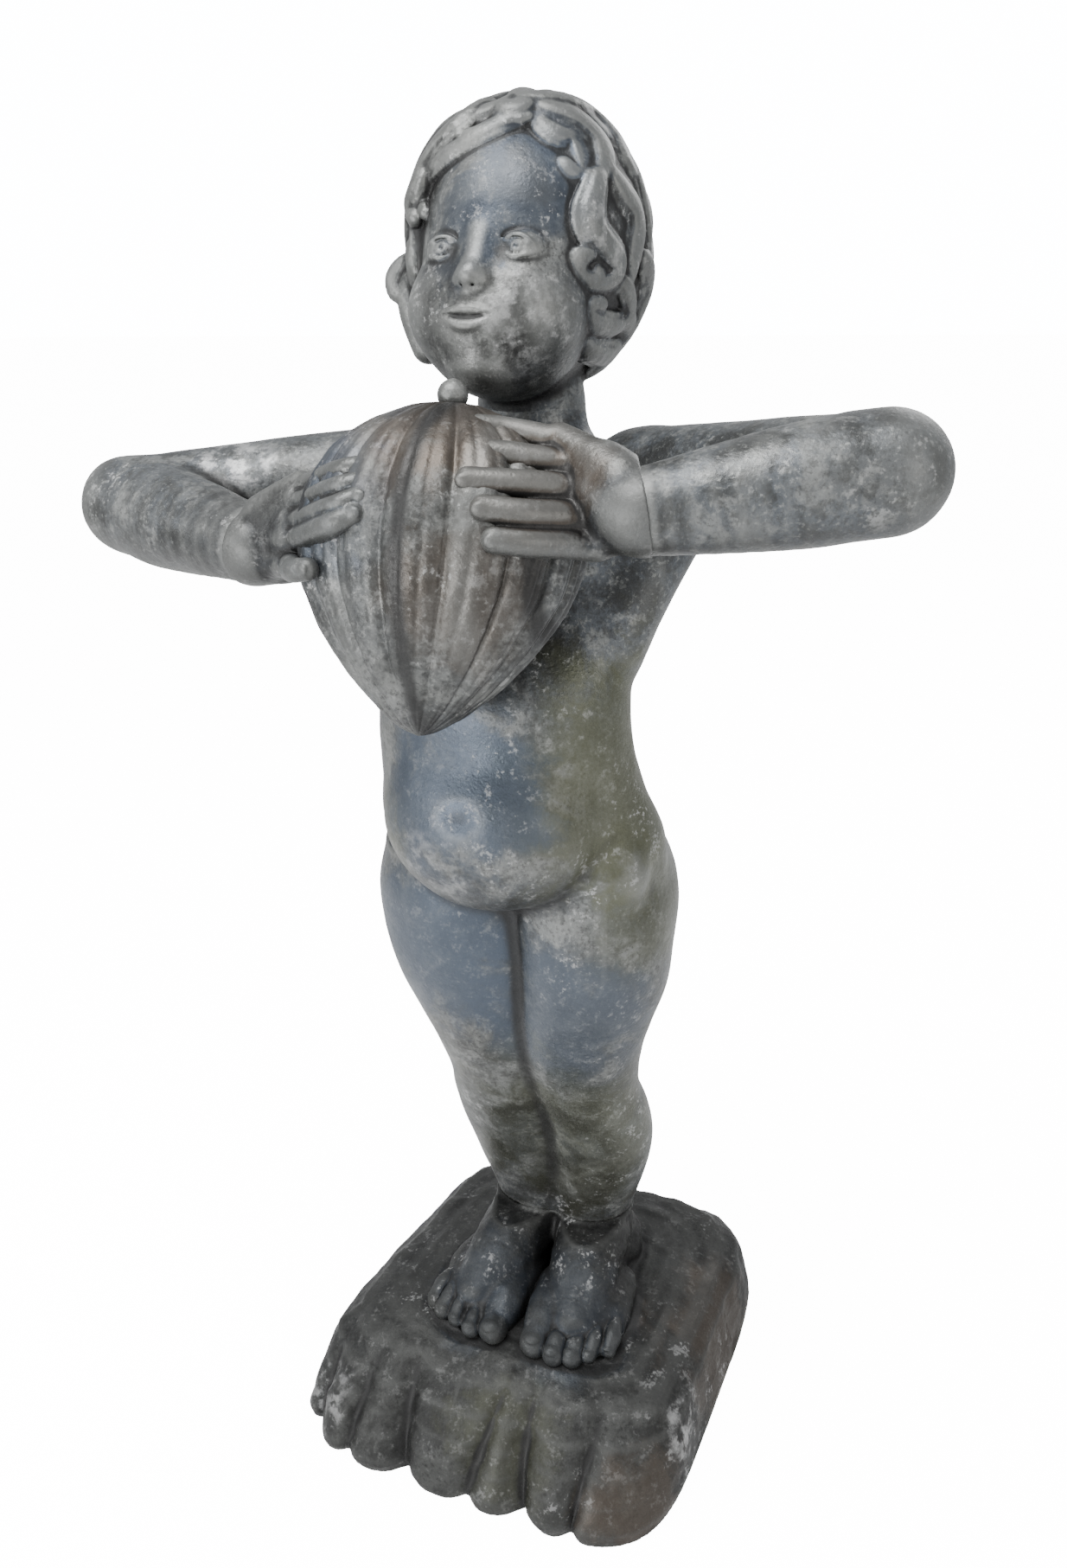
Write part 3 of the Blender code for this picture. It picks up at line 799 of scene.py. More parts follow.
def face_line(clay, half, soft, carve=False):
    """A line on the face's skin, alike on both sides."""
    rows = [(-x, *row) for x, *row in half[:0:-1]] + list(half)
    points = [face_point(clay, x, z, sink) for x, z, sink, thick in rows]
    clay.limb(points, [row[-1] for row in rows], soft, carve=carve)


def model_nose_and_mouth(clay):
    """A small nose and closed, even lips with a faint smile."""
    clay.limb([at_head(0, -60.5, 4), at_head(0, -66, -8), at_head(0, -72, -17)], [5.0, 5.0, 5.6], 11)
    head_ball(clay, (0, -75, -20), (6.8, 6.2, 5.6), 5)
    for side in (-1, 1):
        head_ball(clay, (side * 6.8, -71, -22), (4.4, 5.0, 3.8), 3.5)
        head_ball(clay, (side * 3.4, -75.8, -25.2), (1.5, 1.8, 1.2), 1.0, carve=True)
    head_ball(clay, (0, -62, -42), (23, 13, 15), 12)
    face_line(clay, UPPER_LIP, 2)
    face_line(clay, LOWER_LIP, 2)
    face_line(clay, LIP_LINE, 1.2, carve=True)


def scalp(heading, rise, lift):
    """A point and its outward direction over the scalp: angles in degrees, heading 0 in front."""
    heading, rise = math.radians(heading), math.radians(rise)
    outward = np.array((math.sin(heading) * math.cos(rise), -math.cos(heading) * math.cos(rise), math.sin(rise)))
    local = outward * (HAIR_RADII + lift) + HAIR_CENTRE
    return np.array(at_head(*local)), head_turn() @ outward


def press_lock(clay, points, outwards, width):
    """One flat lock of four strands over a common base, narrow at both ends."""
    across = np.cross(outwards, np.gradient(points, axis=0))
    across = across / np.linalg.norm(across, axis=1)[:, None]
    body = width * np.interp(np.linspace(0, 1, len(points)), (0, 0.2, 0.65, 1), (0.7, 1.0, 1.0, 0.45))
    clay.strand(np.column_stack([points - outwards * (0.62 * body)[:, None], 0.92 * body]), 2)
    for offset, sink, thick in LOCK_STRANDS:
        middle = points + across * (offset * body)[:, None] - outwards * (sink * body)[:, None]
        clay.strand(np.column_stack([middle, thick * body]), 0.8)
    tail = points[-9:]
    if np.linalg.norm(tail[-1] - tail[0]) < 0.6 * np.linalg.norm(np.diff(tail, axis=0), axis=1).sum():
        clay.ball(tail.mean(0) - outwards[-5] * 0.5 * width, (0.74 * width,) * 3, 2)


def model_lock(clay, width, lift, bends):
    """A lock along the scalp through bends given as heading and height angle."""
    rows = smooth_rows(bends, 4)
    points, outwards = zip(*(scalp(heading, rise, lift) for heading, rise in rows))
    press_lock(clay, np.array(points), np.array(outwards), width)


def model_cap(clay):
    """The mass of hair under the locks, behind the hairline."""
    turn = head_turn()
    heights, fronts = zip(*HAIRLINE)

    def distance(x, y, z):
        away = (x - HEAD_CENTRE[0], y - HEAD_CENTRE[1], z - HEAD_CENTRE[2])
        along = [sum(away[j] * np.float32(turn[j, i]) for j in range(3)) for i in range(3)]
        stretch = [(along[i] - np.float32(HAIR_CENTRE[i])) / np.float32(HAIR_RADII[i]) for i in range(3)]
        round_share = np.sqrt(stretch[0] ** 2 + stretch[1] ** 2 + stretch[2] ** 2)
        before = np.interp(along[2], heights, fronts).astype(np.float32) - along[1]
        return np.maximum((round_share - 1) * 76, before * 0.8)

    centre = np.array(at_head(*HAIR_CENTRE))
    clay.press(distance, centre - HAIR_REACH, centre + HAIR_REACH, 5)


def model_hair(clay):
    """Rows of wavy locks round the crown, sides and nape, and placed locks round the face."""
    model_cap(clay)
    for row, (root, tip, count, first, last, width) in enumerate(LOCK_ROWS):
        for i in range(count):
            heading = first + (last - first) * (i + 0.5 * (row % 2)) / (count - 0.5)
            turn = 1 if (i + row) % 3 else -1
            bends = []
            for share in np.linspace(0, 1, 6):
                sway = LOCK_SWAY * turn * math.sin(4.6 * share + 0.7 * i)
                bends.append((heading + sway, root + (tip - root) * share))
            last_heading, low = bends[-1]
            bends += [(last_heading + turn * aside, low + rise) for aside, rise in LOCK_HOOK]
            lift = 1.5 + 1.5 * math.sin(2.3 * i + row) if row else -0.8
            model_lock(clay, width * (1 + 0.15 * math.sin(3.1 * i + row)), lift, bends)
    clay.limb([at_head(*spot[:3]) for spot in SIDE_MASS], [spot[3] for spot in SIDE_MASS], 5)
    side = np.array([at_head(*row) for row in smooth_rows(SIDE_LOCK, 4)])
    outward = head_turn() @ unit(np.array((-0.3, -1.0, 0.1)))
    press_lock(clay, side, np.tile(outward, (len(side), 1)), 6.5)
    for width, lift, bends in FRONT_LOCKS:
        model_lock(clay, width, lift, bends)


def model_head(step):
    """Neck, face and hair, on a finer grid than the trunk."""
    clay = Clay((-108, -96, 702), (104, 122, 926), step)
    model_skull(clay)
    for side in (-1, 1):
        model_eye(clay, side)
    model_nose_and_mouth(clay)
    model_hair(clay)
    return clay.mesh("head_cast", 0.42)


# Hands on the gourd


def gourd_radius(share):
    """Radius at a share of the length below the stem, as a share of the widest."""
    return math.sin(math.pi * min(max(share, 0), 1) ** 0.76) ** 0.68


def gourd_front(gourd, x, z):
    """How far forward the gourd's skin lies at a place across and up."""
    below = GOURD_TOP[2] - z
    share = min(max(below * MM / (gourd.length * math.cos(GOURD_LEAN)), 0.02), 0.98)
    half_width = gourd.width / 2 / MM * gourd_radius(share)
    half_depth = gourd.depth / 2 / MM * gourd_radius(share)
    rounded = math.sqrt(max(1 - (x / half_width) ** 2, 0))
    return GOURD_TOP[1] - below * math.tan(GOURD_LEAN) - half_depth * rounded


def model_hand(clay, side, gourd):
    """Back of the hand, four fingers and a thumb with nails, cut flat at the wrist seam."""
    elbow, wrist = arm_points(side)[1:]
    along = unit(wrist - elbow)
    palm = np.array(PALMS[side], float)
    clay.limb([wrist - along * 12, wrist, palm], [24, 23.4, 20], soft=6)
    clay.ball(palm + (-side * 4, 2, 0), (20, 13, 28), soft=8)
    for knuckle, bend, tip, radius in DIGITS[side]:
        root = palm * 0.6 + wrist * 0.4
        root[2] += (knuckle[2] - palm[2]) * 0.5
        clay.limb([root, np.array(knuckle) + (side * 6, 2, 0)], [14, radius + 2.5], soft=5)
    for knuckle, bend, tip, radius in DIGITS[side]:
        points = [np.array(knuckle, float)]
        for (x, z), lift in ((bend, 1.0), (tip, 0.8)):
            points.append(np.array((x, gourd_front(gourd, x, z) - lift * radius, z)))
        clay.limb(points, [radius + 1.2, radius, radius * 0.9], soft=1.6, steps=6)
        clay.ball(points[0] + (0, -1, 0), (radius + 2.2, radius + 1.0, radius + 0.6), soft=2.5)
        model_nail(clay, points[2], points[1], radius)
    clay.slice(wrist - along * 4, -along, 52)


def model_nail(clay, tip, bend, radius):
    """A nail set on the outer side of a digit's end."""
    ahead = unit(tip - bend)
    outward = unit(np.array((0, -1.0, 0.15)) - ahead * (ahead @ np.array((0, -1.0, 0.15))))
    turn = np.column_stack([ahead, outward, np.cross(ahead, outward)])
    spot = tip + ahead * radius * 0.18 + outward * radius * 0.62
    clay.ball(spot, (radius * 0.66, radius * 0.30, radius * 0.55), 0.5, turn)


def model_hands(step, gourd):
    """Both hands, without the gourd between them."""
    clay = Clay((-150, -200, 626), (150, -92, 762), step)
    for side in (-1, 1):
        model_hand(clay, side, gourd)
    return clay.mesh("hands_cast", 0.6)


# Rock and feet


def rock_distance(x, y, z):
    """Distance to the rock's skin: a rounded square with folds across the front."""
    front, back = ROCK_CORNERS[1][1], ROCK_CORNERS[2][1]
    depth_share = (y - front) / (back - front)
    left = ROCK_CORNERS[0][0] + (ROCK_CORNERS[3][0] - ROCK_CORNERS[0][0]) * depth_share
    right = ROCK_CORNERS[1][0] + (ROCK_CORNERS[2][0] - ROCK_CORNERS[1][0]) * depth_share
    across = (2 * x - left - right) / (right - left)
    along = 2 * depth_share - 1
    edge = (np.abs(across) ** ROCK_SQUARENESS + np.abs(along) ** ROCK_SQUARENESS) ** (1 / ROCK_SQUARENESS)
    faces_front = np.clip((-along / np.maximum(edge, 0.01) - 0.55) / 0.4, 0, 1)
    groove = 0
    for i, (place, deep, wide) in enumerate(ROCK_FOLDS):
        lean = place + (z + SOLE) * FOLD_LEAN * math.sin(2.6 * i)
        groove = groove + deep * np.exp(-np.abs((across - lean) / wide) ** 1.5)
    heights, insets, slopes, folds = zip(*ROCK_SIDES)
    inset, slope, folded = (np.interp(z + SOLE, heights, row).astype(np.float32) for row in (insets, slopes, folds))
    side = (edge - 1) * ROCK_HALF_WIDTH + 1.5 + inset + (slope + groove * folded) * faces_front
    top = z - 1.5 * np.cos(x / 60) * np.cos(y / 70)
    return np.maximum(side * 0.7, top).astype(np.float32)


def model_foot(clay, side):
    """A plump foot with five toes, nails and an ankle, which the rock's clay cuts level at the seam."""
    ankle = leg_rings(side, LEG_ROWS[:3])
    clay.loft([(-8, *ankle[0][1:]), *ankle], soft=3)
    heel, inner_edge, outer_edge = (sided(side, spot) for spot in ((32, 48, 10), (21, -30, 9), (61, -24, 5)))
    instep = [sided(side, spot) for spot in ((31, 22, 38), (37, -18, 25), (42, -54, 11))]
    clay.ball(heel, (34, 34, 28), soft=6)
    clay.limb(instep, [33, 28, 20], soft=4)
    clay.ball(inner_edge, (21, 54, 22), soft=4)
    clay.ball(outer_edge, (22, 48, 16), soft=8)
    for x, y, radius in LEFT_TOES:
        root = (side * (x * 0.93 + 2), y + 26, 11)
        tip = np.array((side * x, y + radius * 0.4, radius * 0.7))
        clay.limb([root, (side * x, y + 13, 11), tip], [radius * 0.8, radius * 0.84, radius * 0.95], soft=1.0)
        clay.ball(tip + (0, -radius * 0.35, radius * 0.70), (radius * 0.55, radius * 0.5, radius * 0.28), 0.4)


def model_solder(clay):
    """The wiped solder that joins the ankles, as a low uneven bead over the seam."""
    for side in (-1, 1):
        z, x, y, wide, deep = leg_rings(side, LEG_ROWS[1:2])[0]
        ring = []
        for angle in np.linspace(0, 2 * math.pi, 33):
            lift = 1.2 * math.sin(3 * angle + side)
            ring.append((x + (wide - 0.6) * math.cos(angle), y + (deep - 0.6) * math.sin(angle), z - 0.4 + lift))
        clay.limb(ring, [1.9 + 0.3 * math.sin(5 * i) for i in range(len(ring))], 5, 2)


def model_rock(step):
    """The rock and both feet, up to the ankle seams."""
    low = (-192, -184, -SOLE)
    clay = Clay(low, (168, 174, ANKLE_SEAM + 8), step)
    clay.press(rock_distance, low, (168, 174, 6), 2)
    for side in (-1, 1):
        model_foot(clay, side)
    clay.slice((0, 40, ANKLE_SEAM - SEAM_GAP / 2), (0, 0, 1), 110)
    model_solder(clay)
    return clay.mesh("rock_cast", 0.56)


# Roughness of the cast skin


def lattice_noise(points, size, seed):
    """Smooth random values between -1 and 1 that change over about the given size."""
    table = np.random.default_rng(seed).uniform(-1, 1, (LATTICE_CELLS,) * 3)
    spot = points / size
    cell = np.floor(spot).astype(int)
    share = spot - cell
    share = share * share * (3 - 2 * share)
    return blended(table, cell, share)


def roughen(thing, layers, keep_flat=0.0):
    """Moves the skin in and out by layers of noise: (size, height, seed), in millimetres."""
    mesh = thing.data
    places = coordinates(mesh)
    normals = np.empty(len(places) * 3, np.float32)
    mesh.vertices.foreach_get("normal", normals)
    push = 0
    for size, height, seed in layers:
        push = push + height * MM * lattice_noise(places, size * MM, seed)
    if keep_flat:
        push = push * np.clip((places[:, 2] - keep_flat * MM) / (FLAT_FADE * MM), 0, 1)
    places = places + normals.reshape(-1, 3) * np.reshape(push, (-1, 1))
    mesh.vertices.foreach_set("co", places.astype(np.float32).ravel())
    mesh.update()


def dress(thing, node, finish):
    """Gives a finished piece its material, puts it on the root body and hides the imported part that it stands for.
    """
    for face in thing.data.polygons:
        face.use_smooth = True
    thing.data.materials.clear()
    thing.data.materials.append(finish)
    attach(thing, "root")
    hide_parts(node)


# Finishes


class Nodes:
    """Ways to build a node tree that materials and geometry share."""

    def __init__(self, tree):
        self.tree = tree

    def node(self, kind, values=None, **settings):
        """A new node with its settings, and values or links for its inputs by name or number."""
        made = self.tree.nodes.new(kind)
        for name, value in settings.items():
            setattr(made, name, value)
        for label, value in (values or {}).items():
            self.feed(made.inputs[label], value)
        return made

    def feed(self, socket, value):
        """Sets a socket, or links it where the value is a socket too."""
        if isinstance(value, bpy.types.NodeSocket):
            self.tree.links.new(value, socket)
        else:
            socket.default_value = value

    def math(self, kind, *values, clamp=False):
        return self.node("ShaderNodeMath", dict(enumerate(values)), operation=kind, use_clamp=clamp).outputs[0]

    def times(self, first, *others):
        for other in others:
            first = self.math("MULTIPLY", first, other)
        return first

    def plus(self, one, two):
        return self.math("ADD", one, two)

    def minus(self, one, two):
        return self.math("SUBTRACT", one, two)


class Paint(Nodes):
    """Builds a procedural finish node by node on Object coordinates."""

    def __init__(self, name):
        self.material = bpy.data.materials.new(name)
        self.material.use_nodes = True
        super().__init__(self.material.node_tree)
        self.tree.nodes.clear()
        self.place = self.node("ShaderNodeTexCoord").outputs["Object"]
        self.shader = self.node("ShaderNodeBsdfPrincipled")
        self.node("ShaderNodeOutputMaterial", {"Surface": self.shader.outputs[0]})

    def coat(self, values):
        """Sets or links inputs of the shader."""
        for label, value in values.items():
            self.feed(self.shader.inputs[label], value)

    def stretched(self, stretch=(1, 1, 1), shift=(0, 0, 0)):
        values = {"Vector": self.place, "Scale": stretch, "Location": shift}
        return self.node("ShaderNodeMapping", values).outputs[0]

    def noise(self, scale, detail=3.0, rough=0.55, stretch=(1, 1, 1), shift=(0, 0, 0), twist=0.0):
        values = {"Vector": self.stretched(stretch, shift), "Scale": scale, "Detail": detail}
        values.update({"Roughness": rough, "Distortion": twist})
        return self.node("ShaderNodeTexNoise", values).outputs["Fac"]

    def cells(self, scale, shift=(0, 0, 0)):
        values = {"Vector": self.stretched(shift=shift), "Scale": scale}
        return self.node("ShaderNodeTexVoronoi", values).outputs["Distance"]

    def band(self, value, low, high, start=0.0, stop=1.0):
        """A smooth step of a value, from start at low to stop at high."""
        values = {"Value": value, "From Min": low, "From Max": high, "To Min": start, "To Max": stop}
        return self.node("ShaderNodeMapRange", values, interpolation_type="SMOOTHSTEP").outputs["Result"]

    def mix(self, share, one, two):
        values = {"Factor": share, "A": colour(one), "B": colour(two)}
        return self.node("ShaderNodeMix", values, data_type="RGBA").outputs["Result"]

    def layer(self, shade, mask, share, tint):
        """A share of a tint over the shade, where the mask is."""
        return self.mix(self.times(mask, share), shade, tint)

    def near(self, centre, radius, edge):
        """One inside a ragged ball round a place, in metres, fading to nothing outside."""
        away = self.node("ShaderNodeVectorMath", {0: self.place, 1: centre}, operation="DISTANCE")
        ragged = radius * STAIN_RAGGEDNESS
        wobble = self.math("MULTIPLY_ADD", edge, ragged * 4, -ragged * 2)
        return self.band(self.plus(away.outputs["Value"], wobble), radius * 1.05, radius * 0.5)

    def relief(self, name):
        return self.node("ShaderNodeAttribute", attribute_name=name).outputs["Fac"]

    def facing_up(self):
        normal = self.node("ShaderNodeTexCoord").outputs["Normal"]
        return self.node("ShaderNodeSeparateXYZ", {0: normal}).outputs["Z"]


def colour(value):
    """A colour with its alpha, or a socket as it is."""
    if isinstance(value, bpy.types.NodeSocket):
        return value
    return (*value[:3], 1.0)


# Noise patterns of the lead
PATTERNS = {
    "broad": {"scale": 6, "detail": 3, "twist": 0.5},
    "middle": {"scale": 26, "detail": 6, "rough": 0.66, "shift": (3, 1, 2), "twist": 0.3},
    "small": {"scale": 75, "detail": 5, "rough": 0.65, "shift": (4, 8, 6)},
    "fine": {"scale": 330, "detail": 4, "rough": 0.65, "shift": (7, 5, 1)},
    "runs": {"scale": 34, "detail": 5, "rough": 0.62, "stretch": (1, 1, 0.09), "shift": (1, 4, 0)},
    "patches": {"scale": 9, "detail": 4, "rough": 0.65, "shift": (5, 9, 2)},
}

# Mottling: pattern, where it starts, where it is full, its share, and the shade that it mixes in
MOTTLING = (
    ("middle", 0.51, 0.40, 0.75, "deep"),
    ("middle", 0.52, 0.62, 0.60, "pale"),
    ("small", 0.49, 0.38, 0.55, "deep"),
    ("small", 0.54, 0.64, 0.45, "pale"),
    ("fine", 0.47, 0.36, 0.55, "deep"),
    ("fine", 0.55, 0.66, 0.45, "pale"),
    ("runs", 0.54, 0.72, 0.45, "deep"),
    ("runs", 0.44, 0.30, 0.35, "pale"),
)

# The dark and the pale shade as shares of the lead's own, and how ragged the stains' edges are
SHADES = {"deep": 0.34, "pale": 2.1}
STAIN_RAGGEDNESS = 0.45
ROUGHNESS_SWING = 0.12


def lead_finish(name, tone, stains, chalk_share=0.5, blue_share=0.5, roughness=0.47):
    """Weathered lead: mottled grey, blue wear, chalk bloom, streaks and fine pits, with painted shade in creases,
    broad dips and on downward faces, and a painted highlight on proud ridges.
    """
    paint = Paint(name)
    look = bpy.context.scene.statue_finish
    noise = {label: paint.noise(**pattern) for label, pattern in PATTERNS.items()}
    base, blue = ([channel * tone for channel in tint] for tint in (look.lead, look.blue))
    shades = {label: [channel * share for channel in base] for label, share in SHADES.items()}
    shade = paint.layer(base, paint.band(noise["broad"], 0.62, 0.36), blue_share, blue)
    for pattern, start, full, share, tint in MOTTLING:
        shade = paint.layer(shade, paint.band(noise[pattern], start, full), share, shades[tint])
    for centre, radius, tint, strength in stains:
        patch = paint.near(centre, radius, noise["middle"])
        if tint == "chalk":
            patch = paint.times(patch, paint.band(noise["small"], 0.46, 0.60))
        shade = paint.layer(shade, patch, strength, getattr(look, tint))
    hollow = paint.plus(paint.times(paint.relief("fine_relief"), 0.6), paint.times(paint.relief("relief"), 0.7))
    # Painted highlight: the pale shade laid on proud ridges and edges
    shade = paint.layer(shade, paint.band(hollow, -0.10, -0.75), 0.55, shades["pale"])
    patches = paint.band(noise["patches"], 0.50, 0.68)
    grains = paint.band(paint.plus(noise["small"], paint.times(noise["fine"], 0.8)), 0.99, 1.10)
    chalk = paint.times(grains, paint.plus(paint.times(patches, 0.9), 0.12))
    chalk = paint.math("MULTIPLY", chalk, chalk_share, clamp=True)
    shade = paint.mix(chalk, shade, look.chalk)
    # Painted shade: the crease colour laid in fine hollows, in broad dips and on faces that look down
    painted_shade_masks = (
        (paint.band(hollow, 0.08, 0.70), 0.88),
        (paint.band(paint.relief("broad_relief"), 0.10, 0.80), 0.45),
        (paint.band(paint.facing_up(), -0.15, -0.85), 0.45),
    )
    for mask, share in painted_shade_masks:
        shade = paint.layer(shade, mask, share, look.dark)
    gloss = paint.band(noise["middle"], 0.3, 0.75, roughness - ROUGHNESS_SWING, roughness + ROUGHNESS_SWING)
    pits = paint.band(paint.cells(210, (2, 2, 2)), 0.0, 0.35)
    height = paint.math("MULTIPLY_ADD", noise["fine"], 0.55, paint.times(pits, 0.20))
    height = paint.plus(height, paint.times(noise["middle"], 0.9))
    height = paint.plus(height, paint.times(chalk, 0.25))
    bump = paint.node("ShaderNodeBump", {"Strength": 0.55, "Distance": 0.0011, "Height": height})
    paint.coat({"Base Color": shade, "Roughness": paint.math("MULTIPLY_ADD", chalk, 0.25, gloss)})
    paint.coat({"Metallic": 0.65, "Specular IOR Level": 0.5, "Normal": bump.outputs[0]})
    return paint.material


# Stains: place and radius in metres, tint and strength
FIGURE_STAINS = (
    ((0.085, -0.060, 0.590), 0.100, "olive", 0.68),
    ((0.105, -0.040, 0.500), 0.070, "olive", 0.45),
    ((-0.070, -0.120, 0.560), 0.040, "olive", 0.40),
    ((0.000, -0.120, 0.600), 0.075, "blue", 0.80),
    ((-0.055, -0.080, 0.440), 0.085, "blue", 0.75),
    ((0.045, -0.070, 0.400), 0.085, "blue", 0.65),
    ((0.030, -0.040, 0.240), 0.120, "olive", 0.45),
    ((-0.030, -0.030, 0.200), 0.110, "dark", 0.35),
    ((0.025, -0.050, 0.965), 0.060, "blue", 0.90),
    ((0.030, -0.060, 0.960), 0.050, "dark", 0.55),
    ((-0.012, -0.078, 0.940), 0.050, "blue", 0.60),
    ((-0.012, -0.078, 0.945), 0.045, "dark", 0.50),
    ((-0.030, -0.070, 0.905), 0.030, "dark", 0.45),
    ((0.034, -0.068, 0.865), 0.040, "chalk", 0.32),
    ((0.070, -0.020, 0.915), 0.026, "chalk", 0.50),
    ((0.070, 0.060, 0.890), 0.070, "dark", 0.55),
    ((-0.020, -0.150, 0.535), 0.050, "chalk", 0.20),
    ((0.200, -0.100, 0.800), 0.030, "chalk", 0.30),
    ((-0.180, -0.070, 0.785), 0.035, "chalk", 0.45),
    ((0.000, 0.010, 0.995), 0.060, "dark", 0.62),
    ((-0.060, 0.000, 0.950), 0.045, "dark", 0.60),
    ((-0.135, -0.135, 0.750), 0.050, "dark", 0.65),
    ((0.125, -0.140, 0.785), 0.035, "dark", 0.45),
)
HANDS_STAINS = (
    ((0.130, -0.140, 0.785), 0.050, "dark", 0.50),
    ((-0.120, -0.135, 0.750), 0.060, "dark", 0.65),
    ((0.060, -0.150, 0.815), 0.060, "brown", 0.65),
)
GOURD_STAINS = (
    ((0.000, -0.120, 0.830), 0.080, "brown", 0.80),
    ((0.000, -0.110, 0.845), 0.055, "dark", 0.40),
    ((-0.050, -0.140, 0.780), 0.060, "blue", 0.60),
    ((0.040, -0.180, 0.740), 0.050, "brown", 0.45),
)
ROCK_STAINS = (
    ((0.140, -0.150, 0.030), 0.060, "brown", 0.55),
    ((0.150, 0.020, 0.040), 0.080, "brown", 0.55),
    ((0.160, -0.080, 0.060), 0.035, "chalk", 0.45),
    ((-0.150, -0.150, 0.035), 0.040, "chalk", 0.30),
    ((0.020, -0.150, 0.050), 0.060, "olive", 0.22),
    ((0.040, -0.060, 0.110), 0.060, "blue", 0.22),
    ((-0.040, -0.060, 0.110), 0.060, "blue", 0.22),
)


# Forms that follow a rule, made by Geometry Nodes


# Inputs of a turned form and their first values, whose type gives the socket's kind
TURNED_INPUTS = {
    "Width": 0.1,
    "Depth": 0.1,
    "Height": 0.1,
    "Ribs": 16.0,
    "Rib depth": 0.06,
    "Rib sharpness": 0.6,
    "Rib wander": 0.0,
    "Line depth": 0.0,
    "Unevenness": 0.0,
    "Around": 240,
    "Along": 160,
    "Finish": None,
}
SOCKET_KINDS = {float: "NodeSocketFloat", int: "NodeSocketInt", type(None): "NodeSocketMaterial"}

# Scale of the uneven casting, and the share of a groove's depth that reads as level
CAST_SCALE = 55.0
LEVEL_GROOVE = 0.32


class Tree(Nodes):
    """Builds a Geometry Nodes tree with named inputs."""

    def __init__(self, name, inputs):
        super().__init__(bpy.data.node_groups.new(name, "GeometryNodeTree"))
        self.tree.interface.new_socket("Geometry", in_out="OUTPUT", socket_type="NodeSocketGeometry")
        self.ids = {}
        for label, value in inputs.items():
            kind = SOCKET_KINDS[type(value)]
            socket = self.tree.interface.new_socket(label, in_out="INPUT", socket_type=kind)
            self.ids[label] = socket.identifier
            if value is not None:
                socket.default_value = value
        self.inputs = self.node("NodeGroupInput")

    def value(self, label):
        return self.inputs.outputs[label]

    def curve(self, value, points):
        """A smooth curve through (input, output) points between 0 and 1."""
        made = self.node("ShaderNodeFloatCurve")
        line = made.mapping.curves[0]
        for place, height in points[1:-1]:
            line.points.new(place, height)
        line.points[0].location = points[0]
        line.points[-1].location = points[-1]
        made.mapping.update()
        self.feed(made.inputs["Value"], value)
        return made.outputs[0]


def turned_tree(name, radius_points, height_points):
    """A tree for a ribbed, turned form: a sheet rolled round an axis along two profile curves."""
    tree = Tree(name, TURNED_INPUTS)
    value, times, plus, minus = tree.value, tree.times, tree.plus, tree.minus
    sheet = tree.node("GeometryNodeMeshGrid", {"Vertices X": value("Around"), "Vertices Y": value("Along")})
    place = tree.node("ShaderNodeSeparateXYZ", {0: tree.node("GeometryNodeInputPosition").outputs[0]})
    angle = times(plus(place.outputs["X"], 0.5), 2 * math.pi)
    share = plus(place.outputs["Y"], 0.5)
    sway = times(tree.math("SINE", tree.math("MULTIPLY_ADD", angle, 3.0)), value("Rib wander"))
    phase = times(plus(angle, sway), times(value("Ribs"), 0.5))

    def groove(phase, sharpness, depth):
        crest = tree.math("POWER", tree.math("ABSOLUTE", tree.math("SINE", phase)), sharpness)
        return times(value(depth), minus(1.0, crest))

    cut = groove(phase, value("Rib sharpness"), "Rib depth")
    scored = groove(times(phase, 3.0), 0.5, "Line depth")
    reach = times(tree.curve(share, radius_points), minus(minus(1.0, cut), scored))
    rolled = {
        "X": times(tree.math("COSINE", angle), reach, times(value("Width"), 0.5)),
        "Y": times(tree.math("SINE", angle), reach, times(value("Depth"), 0.5)),
        "Z": times(tree.curve(share, height_points), value("Height")),
    }
    rolled = tree.node("ShaderNodeCombineXYZ", rolled).outputs[0]
    shaped = tree.node("GeometryNodeSetPosition", {"Geometry": sheet.outputs["Mesh"], "Position": rolled})
    closed = tree.node("GeometryNodeMergeByDistance", {"Geometry": shaped.outputs[0], "Distance": 0.02 * MM})
    cast_noise = tree.node("ShaderNodeTexNoise", {"Scale": CAST_SCALE, "Detail": 3.0}).outputs[0]
    wander = times(minus(cast_noise, 0.5), value("Unevenness"))
    normal = tree.node("GeometryNodeInputNormal").outputs[0]
    push = tree.node("ShaderNodeVectorMath", {0: normal, "Scale": wander}, operation="SCALE").outputs[0]
    done = tree.node("GeometryNodeSetPosition", {"Geometry": closed.outputs[0], "Offset": push}).outputs[0]
    # The groove depth becomes the relief that the finish turns into painted shade in the grooves and a painted
    # highlight on the ribs
    depth = tree.math("DIVIDE", plus(cut, scored), plus(value("Rib depth"), 0.001))
    for label, full in (("fine_relief", 0.8), ("relief", 1.0), ("broad_relief", 2.5)):
        hollow = tree.math("DIVIDE", minus(depth, LEVEL_GROOVE), full)
        values = {"Geometry": done, "Name": label, "Value": hollow}
        done = tree.node("GeometryNodeStoreNamedAttribute", values, data_type="FLOAT", domain="POINT").outputs[0]
    done = tree.node("GeometryNodeRealizeInstances", {0: done}).outputs[0]
    done = tree.node("GeometryNodeSetMaterial", {"Geometry": done, "Material": value("Finish")}).outputs[0]
    tree.node("NodeGroupOutput", {0: done})
    return tree


def turned_form(name, tree, values, place):
    """A plain mesh from a turned form's tree, put in its place."""
    thing = placed(name, bpy.data.meshes.new(name))
    made = thing.modifiers.new("turned form", "NODES")
    made.node_group = tree.tree
    for label, value in values.items():
        made[tree.ids[label]] = value
    flat_mesh(thing)
    thing.data.name = name
    thing.data.transform(place)
    outward_faces(thing)
    return thing


